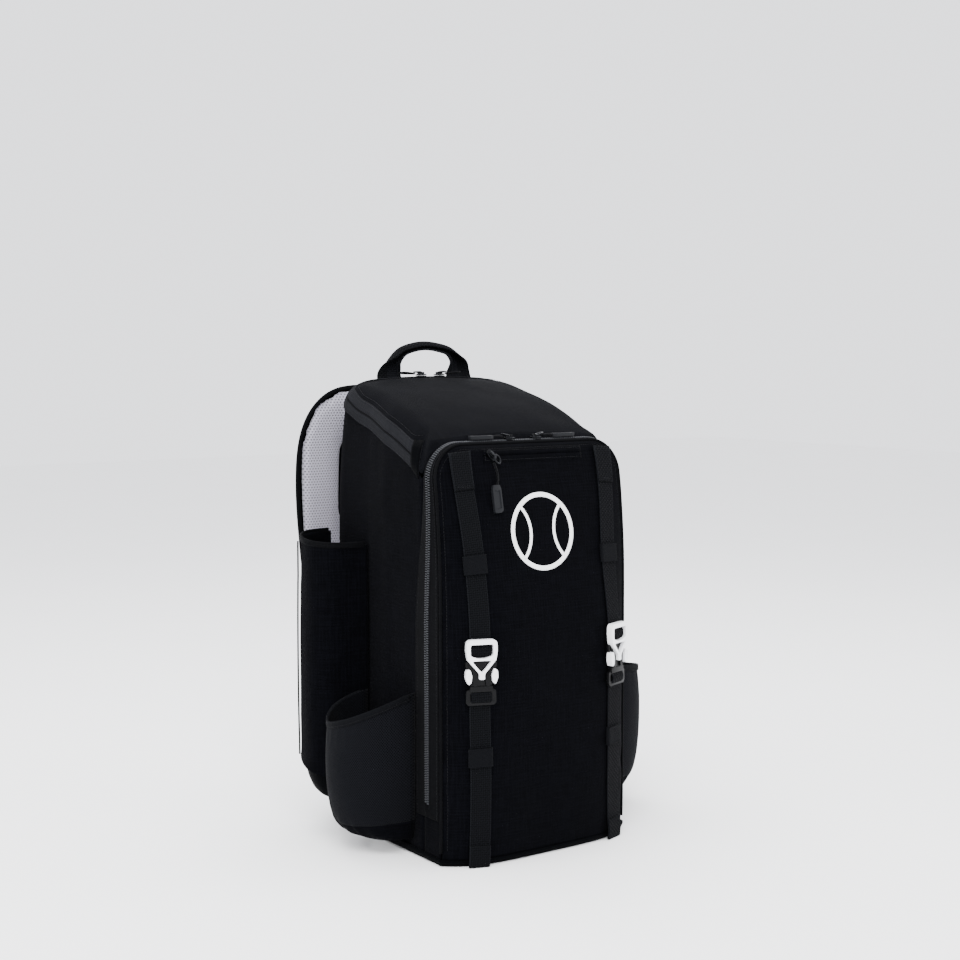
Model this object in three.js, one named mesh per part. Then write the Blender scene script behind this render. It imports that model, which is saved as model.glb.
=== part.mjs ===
import * as THREE from 'three';
import { mergeVertices } from 'three/addons/utils/BufferGeometryUtils.js';

// Driving dimensions in millimetres. X runs across the bag, -Y is its front, Z is up, and the
// origin is on the ground at the middle of the base.

// Main compartment
const frontWidth = 250;          // across the sides at the front
const backWidth = 238;           // across the sides behind the bottle pockets
const frontWall = 78;            // origin to the front wall
const backWall = 135;            // origin to the back wall, low down
const backLean = 20;             // how far the back wall leans forward at the top
const frontCorner = 8;           // plan radius of the front corners
const backCorner = 34;           // plan radius of the back corners
const shellWall = 2.6;           // cloth and its foam
const gap = 0.4;                 // between neighbouring pieces

// Lid
const lidFrontHeight = 455;      // top of the lid at its front, above the ground
const lidBackHeight = 517;       // top of the lid at its back
const lidShoulder = 30;          // height of the rounded shoulders at the sides and back
const lidShoulderRound = 27;     // plan depth of the rounded shoulders
const lidFrontRound = 8;         // plan depth of the rounded front edge
const lidCornerDrop = 15;        // how much lower the front corners are
const lidCrown = 7;              // how much lower the top is at the sides than in the middle
const seamSide = 0.1;            // place of the zip on the shoulder, as a share, at the sides
const seamBack = 0.93;           // the same at the back
const lidTapeWidth = 30;

// Front compartment
const panelHeight = 449;         // top above the ground
const panelCorner = 38;          // radius of the top corners
const panelFoot = 6;             // radius of the bottom corners
const panelEdgeDepth = 32;       // front wall to the panel's edge, low down
const panelBulge = 30;           // how far the middle stands out from the edge
const panelLean = 39;            // how far the middle leans back at the top
const panelEdgeLean = 16;        // how far the edge leans back at the top
const panelWall = 3;
const pipingRadius = 2.2;

// Base
const baseFloor = 3;
const baseWall = 2.6;
const baseFrontRim = 8;
const baseBackRim = 28;
const baseBevel = 6;

// Bottle pockets
const bottlePocketDepth = 76;    // out from the side wall, on the left
const fullPocketDepth = 93;      // the same on the right, which stands open wider
const bottlePocketLength = 101;  // along the side wall
const bottlePocketFront = 61;    // origin to its front seam
const bottlePocketBottom = 18;
const bottlePocketRim = 180;     // top of the rim at its front end
const fullPocketDip = 16;        // how far the rim dips on the right
const bottlePocketDip = 34;      // how far it dips on the left
const bottlePocketWall = 1.6;
const rimTapeWidth = 11;

// Bat sleeves
const sleeveDepth = 64;
const sleeveLength = 86;
const sleeveFront = 44;          // origin to its front seam
const sleeveBottom = 36;         // lowest point of its bottom
const sleeveBottomRise = 28;     // how much higher its bottom is at the back
const sleeveTop = 330;
const sleeveWall = 2.4;
const bindingWidth = 9;
const bindingThickness = 1.4;

// Zips
const tapeThickness = 1.2;
const coilWidth = 6;
const coilHeight = 2.4;
const frontZipFoot = 60;         // lowest end of the front coil above the ground
const frontTapeFoot = 14;
const frontTapeLap = 16;         // how far its tape reaches back over the side
const pocketZipHeight = 436;
const pocketZipLength = 134;
const pocketZipWidth = 12;
const sliderLength = 13;
const sliderWidth = 8;
const sliderHeight = 4.5;
const cordRadius = 1.3;
const gripLength = 30;
const gripWidth = 11;
const gripThickness = 4;
const pocketCordLength = 24;
const frontCordLength = 12;
const lidCordLength = 24;
const frontSliderSpacing = 36;
const lidSliderSpacing = 26;

// Straps on the front
const webbingWidth = 23;
const webbingThickness = 1.8;
const strapInset = 34.5;         // side of the front to each strap's middle, low down
const strapTop = 434;
const strapFlare = 6;            // how much further out each strap is at the top
const keeperWidth = 20;
const keeperWall = 1.2;
const upperKeeperHeight = 323;
const lowerKeeperHeight = 119;
const buckleHeight = 211;        // middle of the buckle
const buckleWidth = 33;
const buckleLength = 70;
const buckleThickness = 7;
const buckleCorner = 4;
const buckleBar = 6;
const buckleFrame = 24;          // length of the socket's frame
const buckleSlot = 12;           // height of the webbing's slots
const buckleStem = 6;            // width of the stem between the prongs
const buckleReach = 41;          // top of the buckle to the end of the stem
const buckleSeat = 51;           // top of the buckle to the plug's frame
const buckleGap = 8;             // between the straps' ends behind the buckle

// Carrying
const backPanelWidth = 176;
const backPanelTop = 446;
const backPanelFoot = 34;
const backPanelThickness = 11;
const shoulderWidth = 64;
const shoulderThickness = 11;
const shoulderTop = 476;
const shoulderFoot = 168;
const shoulderBow = 18;          // how far the pads stand off the back
const lowerWebbingWidth = 25;
const lowerFoot = 56;            // height where the lower webbing is sewn to the body
const lowerLap = 26;             // how far it runs up over the pad
const adjusterRise = 12;         // end of the pad to the adjuster's middle
const adjusterLength = 18;
const adjusterRim = 4;
const adjusterSlot = 3.5;
const adjusterThickness = 3;
const handleSpan = 98;           // between the middles of the feet
const handleTop = 554;
const handleBack = 109;          // origin to the handle's front face
const handleWidth = 34;
const handleThickness = 3.2;

// Print
const ballDiameter = 84;
const ballDrop = 83;             // below the pocket's zip, to the ball's middle
const ballLine = 5;
const ballThickness = 0.6;

// Top of the lid along its middle: share of the way back and share of the rise.
const lidProfile = [
  { back: 0, rise: 0 },
  { back: 0.09, rise: 0.18 },
  { back: 0.17, rise: 0.31 },
  { back: 0.3, rise: 0.49 },
  { back: 0.46, rise: 0.66 },
  { back: 0.65, rise: 0.83 },
  { back: 0.85, rise: 0.97 },
  { back: 1, rise: 1 },
];

// Back wall: share of the lid's back height and share of the lean.
const backProfile = [
  { height: 0, lean: 0 },
  { height: 0.72, lean: 0 },
  { height: 0.83, lean: 0.28 },
  { height: 0.92, lean: 0.62 },
  { height: 1, lean: 1 },
];

// Front panel: share of its height, with the shares of both leans.
const panelProfile = [
  { height: 0, middle: 0.1, edge: 0.04 },
  { height: 0.08, middle: 0, edge: 0 },
  { height: 0.45, middle: 0, edge: 0 },
  { height: 0.56, middle: 0.05, edge: 0.01 },
  { height: 0.72, middle: 0.33, edge: 0.08 },
  { height: 0.86, middle: 0.6, edge: 0.4 },
  { height: 0.94, middle: 0.82, edge: 0.72 },
  { height: 1, middle: 1, edge: 1 },
];
const panelRoundness = 4.5;      // how square the panel's bulge is in plan

// Bat sleeve in plan: shares of its depth and length, round its outside from front to back.
const sleevePlan = [
  { out: 0.02, along: 0 },
  { out: 0.34, along: 0.01 },
  { out: 0.7, along: 0.08 },
  { out: 0.94, along: 0.24 },
  { out: 1, along: 0.42 },
  { out: 0.95, along: 0.62 },
  { out: 0.8, along: 0.81 },
  { out: 0.6, along: 0.93 },
  { out: 0.3, along: 0.99 },
  { out: 0.02, along: 1 },
];

// Bat sleeve from bottom to top: share of the height and size of its section.
const sleeveRows = [
  { height: 0, size: 0.84 },
  { height: 0.04, size: 0.93 },
  { height: 0.14, size: 0.98 },
  { height: 0.45, size: 1 },
  { height: 0.8, size: 0.99 },
  { height: 1, size: 0.96 },
];

// Bottle pocket from bottom to rim: share of the height and size of its section.
const pocketRows = [
  { height: 0, size: 0.56 },
  { height: 0.05, size: 0.74 },
  { height: 0.16, size: 0.9 },
  { height: 0.38, size: 0.99 },
  { height: 0.7, size: 1 },
  { height: 1, size: 0.96 },
];

// Bottle pocket rim: share of the way round from its front seam, and share of the dip.
const rimProfile = [
  { round: 0, dip: 0 },
  { round: 0.18, dip: 0.4 },
  { round: 0.4, dip: 0.82 },
  { round: 0.6, dip: 1 },
  { round: 0.8, dip: 0.72 },
  { round: 1, dip: 0.4 },
];

// Shoulder pad path: shares of its drop, of half the back width, and of its bow, with its
// width as a share.
const shoulderPath = [
  { drop: 0, across: 0.34, bow: 0.02, wide: 0.72 },
  { drop: -0.01, across: 0.54, bow: 0.5, wide: 0.85 },
  { drop: 0.02, across: 0.76, bow: 0.86, wide: 0.96 },
  { drop: 0.12, across: 0.9, bow: 1, wide: 1 },
  { drop: 0.3, across: 0.94, bow: 1, wide: 1 },
  { drop: 0.55, across: 0.92, bow: 0.86, wide: 0.94 },
  { drop: 0.8, across: 0.88, bow: 0.66, wide: 0.84 },
  { drop: 1, across: 0.84, bow: 0.52, wide: 0.7 },
];

// Top handle: share of the half span, share of its rise, and its width and thickness as shares.
const handlePath = [
  { across: -1, rise: 0, wide: 1, thick: 1 },
  { across: -1, rise: 0.22, wide: 0.94, thick: 1.1 },
  { across: -0.93, rise: 0.46, wide: 0.6, thick: 1.6 },
  { across: -0.85, rise: 0.65, wide: 0.34, thick: 2.4 },
  { across: -0.62, rise: 0.84, wide: 0.28, thick: 2.7 },
  { across: -0.3, rise: 0.96, wide: 0.26, thick: 2.8 },
  { across: 0, rise: 1, wide: 0.25, thick: 2.8 },
  { across: 0.3, rise: 0.96, wide: 0.26, thick: 2.8 },
  { across: 0.62, rise: 0.86, wide: 0.28, thick: 2.7 },
  { across: 0.85, rise: 0.7, wide: 0.34, thick: 2.4 },
  { across: 0.93, rise: 0.5, wide: 0.6, thick: 1.6 },
  { across: 1, rise: 0.24, wide: 0.94, thick: 1.1 },
  { across: 1, rise: 0, wide: 1, thick: 1 },
];

const UP = new THREE.Vector3(0, 0, 1);
const ROUND_STEPS = 8;

const v3 = (x, y, z) => new THREE.Vector3(x, y, z);
const mix = (a, b, share) => a + (b - a) * share;
const clamp = (value, low, high) => Math.min(high, Math.max(low, value));
const smooth = (from, to, value) => {
  const share = clamp((value - from) / (to - from), 0, 1);
  return share * share * (3 - 2 * share);
};
const range = (count) => Array.from({ length: count }, (_, index) => index);

// Smooth reading of one column of a table between its rows.
function read(table, key, column, value) {
  const last = table.length - 1;
  const at = clamp(value, table[0][key], table[last][key]);
  let row = 0;
  while (row < last - 1 && at > table[row + 1][key]) row += 1;
  const slope = (index) => {
    const before = table[Math.max(0, index - 1)];
    const after = table[Math.min(last, index + 1)];
    return (after[column] - before[column]) / (after[key] - before[key]);
  };
  const a = table[row];
  const b = table[row + 1];
  const step = b[key] - a[key];
  const t = (at - a[key]) / step;
  const rise = t * t * (3 - 2 * t);
  const leave = t * (1 - t) * (1 - t) * step * slope(row);
  const arrive = t * t * (t - 1) * step * slope(row + 1);
  return mix(a[column], b[column], rise) + leave + arrive;
}

// Closed solid from corner points and faces, turned so that its faces look outward.
function solid(points, faces) {
  const positions = points.flatMap((p) => [p.x, p.y, p.z]);
  let geometry = new THREE.BufferGeometry();
  geometry.setAttribute('position', new THREE.Float32BufferAttribute(positions, 3));
  let volume = 0;
  for (const [a, b, c] of faces) {
    volume += points[a].dot(v3(0, 0, 0).crossVectors(points[b], points[c]));
  }
  geometry.setIndex(faces.flatMap(([a, b, c]) => (volume < 0 ? [a, c, b] : [a, b, c])));
  geometry = mergeVertices(geometry, 1e-4);
  geometry.computeVertexNormals();
  return geometry;
}

// Cloth wall between an outer and an inner grid of points. Rows run upward; with `ring` each
// row closes on itself. A floor or a roof closes the first or the last row.
function clothWall(outer, inner, { ring = true, floor = false, roof = false } = {}) {
  const rows = outer.length;
  const columns = outer[0].length;
  const points = [...outer.flat(), ...inner.flat()];
  const faces = [];
  const at = (side, row, column) => (side * rows + row) * columns + (column % columns);
  const quad = (a, b, c, d) => faces.push([a, b, c], [a, c, d]);
  const spans = ring ? columns : columns - 1;
  for (let column = 0; column < spans; column += 1) {
    for (let row = 0; row < rows - 1; row += 1) {
      quad(at(0, row, column), at(0, row, column + 1), at(0, row + 1, column + 1), at(0, row + 1, column));
      quad(at(1, row, column), at(1, row + 1, column), at(1, row + 1, column + 1), at(1, row, column + 1));
    }
    if (!floor) quad(at(0, 0, column + 1), at(0, 0, column), at(1, 0, column), at(1, 0, column + 1));
    if (!roof) {
      const top = rows - 1;
      quad(at(0, top, column), at(0, top, column + 1), at(1, top, column + 1), at(1, top, column));
    }
  }
  if (!ring) {
    const end = columns - 1;
    for (let row = 0; row < rows - 1; row += 1) {
      quad(at(0, row, 0), at(0, row + 1, 0), at(1, row + 1, 0), at(1, row, 0));
      quad(at(0, row, end), at(1, row, end), at(1, row + 1, end), at(0, row + 1, end));
    }
  }
  const fan = (side, row, flip) => {
    const middle = v3(0, 0, 0);
    range(columns).forEach((column) => middle.add(points[at(side, row, column)]));
    points.push(middle.divideScalar(columns));
    for (let column = 0; column < columns; column += 1) {
      const edge = [at(side, row, column), at(side, row, column + 1)];
      faces.push(flip ? [points.length - 1, edge[1], edge[0]] : [points.length - 1, edge[0], edge[1]]);
    }
  };
  if (floor) {
    fan(0, 0, true);
    fan(1, 0, false);
  }
  if (roof) {
    fan(0, rows - 1, false);
    fan(1, rows - 1, true);
  }
  return solid(points, faces);
}

// Solid swept through frames: each has a place, the directions `across` and `out`, and the
// scales `wide` and `thick` of the section's two coordinates.
function sweep(frames, outline) {
  const flat = outline.map(([u, v]) => new THREE.Vector2(u, v));
  const section = THREE.ShapeUtils.isClockWise(flat) ? [...outline].reverse() : outline;
  const count = section.length;
  const points = [];
  for (const { at, across, out, wide = 1, thick = 1 } of frames) {
    for (const [u, v] of section) {
      points.push(at.clone().addScaledVector(across, u * wide).addScaledVector(out, v * thick));
    }
  }
  const faces = [];
  for (let row = 0; row < frames.length - 1; row += 1) {
    for (let side = 0; side < count; side += 1) {
      const a = row * count + side;
      const b = row * count + ((side + 1) % count);
      faces.push([a, b, b + count], [a, b + count, a + count]);
    }
  }
  const last = (frames.length - 1) * count;
  const cap = THREE.ShapeUtils.triangulateShape(section.map(([u, v]) => new THREE.Vector2(u, v)), []);
  for (const [a, b, c] of cap) {
    faces.push([a, c, b], [a + last, b + last, c + last]);
  }
  return solid(points, faces);
}

const rectangle = (width, low, high) => [
  [-width / 2, low],
  [width / 2, low],
  [width / 2, high],
  [-width / 2, high],
];

const circle = (radius, steps = ROUND_STEPS) => range(steps).map((index) => {
  const angle = (index / steps) * 2 * Math.PI;
  return [radius * Math.cos(angle), radius * Math.sin(angle)];
});

// Flat pad section with rounded edges, lying on the line v = 0.
const padSection = (width, thickness) => [
  [-width / 2, thickness * 0.5],
  [-width / 2 + thickness * 0.3, thickness * 0.12],
  [-width / 2 + thickness, 0],
  [width / 2 - thickness, 0],
  [width / 2 - thickness * 0.3, thickness * 0.12],
  [width / 2, thickness * 0.5],
  [width / 2 - thickness * 0.3, thickness * 0.88],
  [width / 2 - thickness, thickness],
  [-width / 2 + thickness, thickness],
  [-width / 2 + thickness * 0.3, thickness * 0.88],
];

// Frames along a line of points; `facing(index)` gives the rough outward direction.
function framesAlong(points, facing, extra = () => ({})) {
  const last = points.length - 1;
  return points.map((at, index) => {
    const along = points[Math.min(last, index + 1)].clone().sub(points[Math.max(0, index - 1)]).normalize();
    const across = v3(0, 0, 0).crossVectors(facing(index), along).normalize();
    const out = v3(0, 0, 0).crossVectors(along, across).normalize();
    return { at, across, out, ...extra(index) };
  });
}

// Closed outline of straight edges and round corners, with outward directions.
function roundedOutline(corners) {
  const count = corners.length;
  const arcs = corners.map((corner, index) => {
    const before = corners[(index + count - 1) % count];
    const after = corners[(index + 1) % count];
    const at = new THREE.Vector2(corner.x, corner.y);
    const arriving = at.clone().sub(new THREE.Vector2(before.x, before.y)).normalize();
    const leaving = new THREE.Vector2(after.x, after.y).sub(at).normalize();
    const turn = Math.atan2(arriving.cross(leaving), arriving.dot(leaving));
    const radius = corner.radius * Math.sign(turn);
    const cut = radius * Math.tan(turn / 2);
    const start = at.clone().addScaledVector(arriving, -cut);
    const heading = Math.atan2(arriving.y, arriving.x);
    const middle = start.clone().add(new THREE.Vector2(-arriving.y, arriving.x).multiplyScalar(radius));
    return range(corner.arc + 1).map((step) => {
      const angle = heading + (turn * step) / corner.arc - Math.PI / 2;
      const normal = new THREE.Vector2(Math.cos(angle), Math.sin(angle));
      return { x: middle.x + radius * normal.x, y: middle.y + radius * normal.y, normal };
    });
  });
  return arcs.flatMap((arc, index) => {
    const next = arcs[(index + 1) % count][0];
    const end = arc[arc.length - 1];
    const edge = corners[index].edge;
    const between = range(edge - 1).map((step) => ({
      x: mix(end.x, next.x, (step + 1) / edge),
      y: mix(end.y, next.y, (step + 1) / edge),
      normal: end.normal,
    }));
    return [...arc, ...between];
  });
}

// Plan of the main compartment, front corner first, anticlockwise from above.
const mainPlan = roundedOutline([
  { x: frontWidth / 2, y: -frontWall, radius: frontCorner, arc: 3, edge: 3 },
  { x: frontWidth / 2, y: 0, radius: backCorner, arc: 1, edge: 1 },
  { x: backWidth / 2, y: sleeveFront, radius: backCorner, arc: 1, edge: 3 },
  { x: backWidth / 2, y: backWall, radius: backCorner, arc: 6, edge: 8 },
  { x: -backWidth / 2, y: backWall, radius: backCorner, arc: 6, edge: 3 },
  { x: -backWidth / 2, y: sleeveFront, radius: backCorner, arc: 1, edge: 1 },
  { x: -frontWidth / 2, y: 0, radius: backCorner, arc: 1, edge: 3 },
  { x: -frontWidth / 2, y: -frontWall, radius: frontCorner, arc: 3, edge: 8 },
]);

// Outline of the front compartment seen from the front, as x and height.
const panelOutline = (inset) => roundedOutline([
  { x: frontWidth / 2 - inset, y: baseFloor + gap, radius: panelFoot, arc: 2, edge: 7 },
  { x: frontWidth / 2 - inset, y: panelHeight - inset, radius: panelCorner - inset, arc: 6, edge: 8 },
  { x: -frontWidth / 2 + inset, y: panelHeight - inset, radius: panelCorner - inset, arc: 6, edge: 7 },
  { x: -frontWidth / 2 + inset, y: baseFloor + gap, radius: panelFoot, arc: 2, edge: 8 },
]);

const backDepth = (height) => backWall - backLean * read(backProfile, 'height', 'lean', height / lidBackHeight);

// Depth of the front panel's edge and of its face, from the origin forward.
const panelEdge = (height) => frontWall + panelEdgeDepth
  - panelEdgeLean * read(panelProfile, 'height', 'edge', height / panelHeight);
function panelFace(x, height) {
  const middle = frontWall + panelEdgeDepth + panelBulge
    - panelLean * read(panelProfile, 'height', 'middle', height / panelHeight);
  const share = Math.min(1, Math.abs(x) / (frontWidth / 2)) ** panelRoundness;
  return mix(middle, panelEdge(height), share);
}

// Height of the front compartment's rounded top at a place across it.
function panelArch(x) {
  const over = Math.max(0, Math.abs(x) - (frontWidth / 2 - panelCorner));
  return panelHeight - panelCorner + Math.sqrt(Math.max(0, panelCorner ** 2 - over ** 2));
}

// Top of the lid over the main compartment.
function lidTop(x, y) {
  const back = backWall - backLean;
  const share = clamp((y + frontWall) / (back + frontWall), 0, 1);
  const middle = mix(lidFrontHeight, lidBackHeight, read(lidProfile, 'back', 'rise', share));
  return middle - lidCrown * (x / (frontWidth / 2)) ** 2;
}

// How much a place of the plan faces the front, and how much it faces the back.
const facesFront = (place) => clamp(-place.normal.y, 0, 1) ** 2;
const facesBack = (place) => clamp(place.normal.y, 0, 1) ** 2;

// Height at which the walls end and the shoulders begin.
function shoulderBase(place) {
  const side = lidTop(place.x, place.y) - lidShoulder
    - lidCornerDrop * (1 - smooth(-frontWall, -frontWall + lidShoulder, place.y));
  const front = panelArch(place.x) - gap - shellWall;
  return mix(side, front, facesFront(place));
}

const seamShare = (place) => {
  const corner = smooth(backWall - 2 * backCorner, backWall, place.y) * (0.35 + 0.65 * facesBack(place));
  return mix(seamSide, seamBack, corner);
};

// Point of the main hull: `level` up to 1 climbs the wall, 1 to 2 rounds the shoulder and 2 to 3
// runs over the lid to its middle. `inset` moves the point inward through the cloth.
function hull(place, level, inset = 0) {
  const x = place.x - place.normal.x * inset;
  const y = place.y - place.normal.y * inset;
  const leaned = (height) => (y > 0 ? (y * backDepth(height)) / backWall : y);
  const foot = baseFloor + gap;
  const base = shoulderBase(place);
  if (level <= 1) {
    const height = mix(foot, base, level);
    return v3(x, leaned(height), height);
  }
  const round = mix(lidShoulderRound, lidFrontRound, facesFront(place)) - inset;
  const turn = (Math.min(level, 2) - 1) * (Math.PI / 2);
  const shrink = 1 - (round * (1 - Math.cos(turn))) / (frontWidth / 2);
  const over = Math.max(0, level - 2);
  const scale = mix(shrink, 0, over);
  const middle = (backWall - backLean - frontWall) / 2;
  const py = middle + (leaned(base) - middle) * scale;
  const top = lidTop(x * scale, py) - inset;
  return v3(x * scale, py, mix(base, top, Math.sin(turn)));
}

// Half the space between the walls and the lid, as a share of the shoulder.
const seamGap = (3 * gap) / lidShoulder;

function mainCompartment() {
  const levels = [0, 0.4, 0.72, 0.82, 0.91, 1];
  const surface = (inset) => {
    const rows = levels.map((level) => mainPlan.map((place) => hull(place, level, inset)));
    rows.push(mainPlan.map((place) => hull(place, 1 + seamShare(place) - seamGap, inset)));
    return rows;
  };
  return clothWall(surface(0), surface(shellWall));
}

function lid() {
  const shares = [0, 0.3, 0.65, 1];
  const tops = [2.25, 2.62];
  const surface = (inset) => {
    const rows = shares.map((share) => mainPlan.map((place) => (
      hull(place, mix(1 + seamShare(place) + seamGap, 2, share), inset))));
    tops.forEach((level) => rows.push(mainPlan.map((place) => hull(place, level, inset))));
    return rows;
  };
  return clothWall(surface(0), surface(shellWall), { roof: true });
}

// Plan of the whole base: the panel's bulge in front, the compartment behind.
function basePlan(offset, height) {
  const front = range(19).map((index) => {
    const x = (frontWidth / 2) * Math.sin((index / 18 - 0.5) * Math.PI);
    return new THREE.Vector2(x, -panelFace(x, height));
  });
  const back = mainPlan.filter((place) => place.y > -frontWall / 2)
    .map((place) => new THREE.Vector2(place.x, place.y));
  const points = [...front, ...back];
  const count = points.length;
  return points.map((point, index) => {
    const before = points[(index + count - 1) % count];
    const after = points[(index + 1) % count];
    const inward = point.clone().sub(before).normalize();
    const onward = after.clone().sub(point).normalize();
    const along = inward.clone().add(onward).normalize();
    const stretch = Math.min(1.5, 1 / Math.max(0.5, along.dot(onward)));
    return { x: point.x + along.y * offset * stretch, y: point.y - along.x * offset * stretch };
  });
}

function basePanel() {
  const rim = (y) => mix(baseFrontRim, baseBackRim, smooth(-frontWall, backWall, y));
  const ring = (offset, at, height) => basePlan(offset, at).map(({ x, y }) => v3(x, y, height(y)));
  const outer = [
    ring(gap + baseWall - baseBevel, 0, () => 0),
    ring(gap + baseWall, baseFloor, () => baseBevel * 0.6),
    ring(gap + baseWall, baseFrontRim, rim),
  ];
  const inner = [
    ring(gap - baseBevel * 0.4, baseFloor, () => baseFloor),
    ring(gap, baseFrontRim, () => baseFloor + gap),
    ring(gap, baseFrontRim, rim),
  ];
  return clothWall(outer, inner, { floor: true });
}

function frontGusset() {
  const outline = panelOutline(0);
  const ring = (inset) => [
    outline.map((p) => v3(p.x - p.normal.x * inset, -frontWall - gap, p.y - p.normal.y * inset)),
    outline.map((p) => {
      const front = panelEdge(p.y) - pipingRadius - gap;
      return v3(p.x - p.normal.x * inset, -front, p.y - p.normal.y * inset);
    }),
  ];
  return clothWall(ring(0), ring(shellWall));
}

function frontPanel() {
  const outline = panelOutline(pipingRadius + gap);
  const middle = panelHeight / 2;
  const sizes = [1, 0.94, 0.83, 0.6, 0.28];
  const surface = (inset) => sizes.map((size) => outline.map((p) => {
    const x = p.x * size;
    const height = middle + (p.y - middle) * size;
    return v3(x, inset - panelFace(x, height), height);
  }));
  return clothWall(surface(0), surface(panelWall), { roof: true });
}

function panelPiping() {
  const outline = panelOutline(0);
  const first = outline.findIndex((p) => p.y > frontTapeFoot && p.x > 0);
  const places = outline.filter((p) => p.y > frontTapeFoot);
  const start = places.indexOf(outline[first]);
  const ordered = [...places.slice(start), ...places.slice(0, start)];
  const points = ordered.map((p) => v3(p.x - p.normal.x * gap, -panelEdge(p.y), p.y - p.normal.y * gap));
  return sweep(framesAlong(points, () => v3(0, -1, 0)), circle(pipingRadius - gap / 2, 6));
}

// Stations of the front zip round the compartment, right foot to left foot, with how far along
// the rounded top each is (0 on the sides, 1 on the top).
function zipStations(foot) {
  const side = range(6).map((index) => mix(foot, panelHeight - panelCorner, index / 5));
  const arc = panelOutline(0).filter((p) => p.y > panelHeight - panelCorner + 0.01);
  const right = side.map((height) => ({ x: frontWidth / 2, y: height, normal: new THREE.Vector2(1, 0) }));
  const left = [...side].reverse()
    .map((height) => ({ x: -frontWidth / 2, y: height, normal: new THREE.Vector2(-1, 0) }));
  return [...right, ...arc, ...left].map((p) => ({ ...p, top: smooth(0.55, 0.93, p.y / panelHeight) }));
}

const tapeBack = (top) => mix(frontWall - frontTapeLap, frontWall + 2 * gap, top);
const tapeFront = (height) => panelEdge(height) - pipingRadius - 2 * gap;

function frontZipTape() {
  const stations = zipStations(frontTapeFoot);
  const edge = (lift, depth) => stations.map((p) => (
    v3(p.x + p.normal.x * lift, -depth(p), p.y + p.normal.y * lift)));
  const surface = (lift) => [edge(lift, (p) => tapeBack(p.top)), edge(lift, (p) => tapeFront(p.y))];
  return clothWall(surface(gap + tapeThickness), surface(gap), { ring: false });
}

function frontZipCoil() {
  const lift = 2 * gap + tapeThickness;
  const points = zipStations(frontZipFoot).map((p) => (
    v3(p.x + p.normal.x * lift, -mix(tapeBack(p.top), tapeFront(p.y), 0.52), p.y + p.normal.y * lift)));
  const stations = zipStations(frontZipFoot);
  const facing = (index) => v3(stations[index].normal.x, 0, stations[index].normal.y);
  return sweep(framesAlong(points, facing), rectangle(coilWidth, 0, coilHeight));
}

// The lid zip runs from one front corner round the back to the other.
function lidZipTape() {
  const half = lidTapeWidth / 2;
  const levelOf = (place, side) => {
    const round = (lidShoulder * Math.PI) / 2;
    const narrow = mix(1, 0.45, facesBack(place));
    return 1 + seamShare(place) + (side * half * narrow) / round;
  };
  const lifted = (place, level, lift) => {
    const point = hull(place, Math.min(level, 1.999), 0);
    const turn = clamp(level - 1, 0, 1) * (Math.PI / 2);
    point.x += place.normal.x * Math.cos(turn) * lift;
    point.y += place.normal.y * Math.cos(turn) * lift;
    point.z += Math.sin(turn) * lift;
    return point;
  };
  const place = (p, side, lift) => {
    const level = levelOf(p, side);
    if (level >= 1) return lifted(p, level, lift);
    const point = lifted(p, 1, lift);
    point.z -= (1 - level) * lidShoulder * (Math.PI / 2);
    return point;
  };
  const places = mainPlan.filter((place) => place.y > -frontWall + frontCorner);
  const surface = (lift) => [-1, -0.4, 0.4, 1].map((side) => places.map((p) => place(p, side, lift)));
  const geometry = clothWall(surface(3 * gap + tapeThickness), surface(3 * gap), { ring: false });
  return { place, places, geometry };
}

function lidZipCoil(tape) {
  const lift = 5 * gap + tapeThickness;
  const points = tape.places.map((p) => tape.place(p, 0, lift));
  const above = tape.places.map((p) => tape.place(p, 0, lift + 1).sub(tape.place(p, 0, lift)));
  return sweep(framesAlong(points, (index) => above[index]), rectangle(coilWidth, 0, coilHeight));
}

// Small box with cut corners for a slider, its length along X.
function sliderBody(length, width, height) {
  const shape = new THREE.Shape();
  const cut = width * 0.3;
  shape.moveTo(-length / 2 + cut, -width / 2);
  shape.lineTo(length / 2 - cut / 2, -width / 2);
  shape.lineTo(length / 2, -width / 2 + cut);
  shape.lineTo(length / 2, width / 2 - cut);
  shape.lineTo(length / 2 - cut / 2, width / 2);
  shape.lineTo(-length / 2 + cut, width / 2);
  shape.lineTo(-length / 2, width / 2 - cut);
  shape.lineTo(-length / 2, -width / 2 + cut);
  shape.closePath();
  return new THREE.ExtrudeGeometry(shape, { depth: height, bevelEnabled: false });
}

// Point on the front panel, lifted off it along its outward direction.
function onPanel(x, height, lift) {
  const step = 1;
  const acrossX = v3(2 * step, panelFace(x - step, height) - panelFace(x + step, height), 0);
  const upward = v3(0, panelFace(x, height - step) - panelFace(x, height + step), 2 * step);
  const out = v3(0, 0, 0).crossVectors(acrossX, upward).normalize();
  return { at: v3(x, -panelFace(x, height), height).addScaledVector(out, lift), out };
}

const strapX = (side, height) => (
  side * (frontWidth / 2 - strapInset + strapFlare * smooth(upperKeeperHeight, strapTop, height)));

// The straps lift over the base's rim at their feet.
const strapLift = (height) => (baseWall + gap) * smooth(4 * baseFrontRim, baseFrontRim, height);

// Strip of cloth or webbing lying on the panel between two heights.
function panelStrip(side, from, to, width, low, high, steps) {
  const heights = range(steps + 1).map((index) => mix(from, to, index / steps));
  const places = heights.map((height) => onPanel(strapX(side, height), height, strapLift(height)));
  const frames = framesAlong(places.map((place) => place.at), (index) => places[index].out);
  return sweep(frames, rectangle(width, low, high));
}

const strapLow = 1.5 * gap;
const strapHigh = strapLow + webbingThickness;

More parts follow.
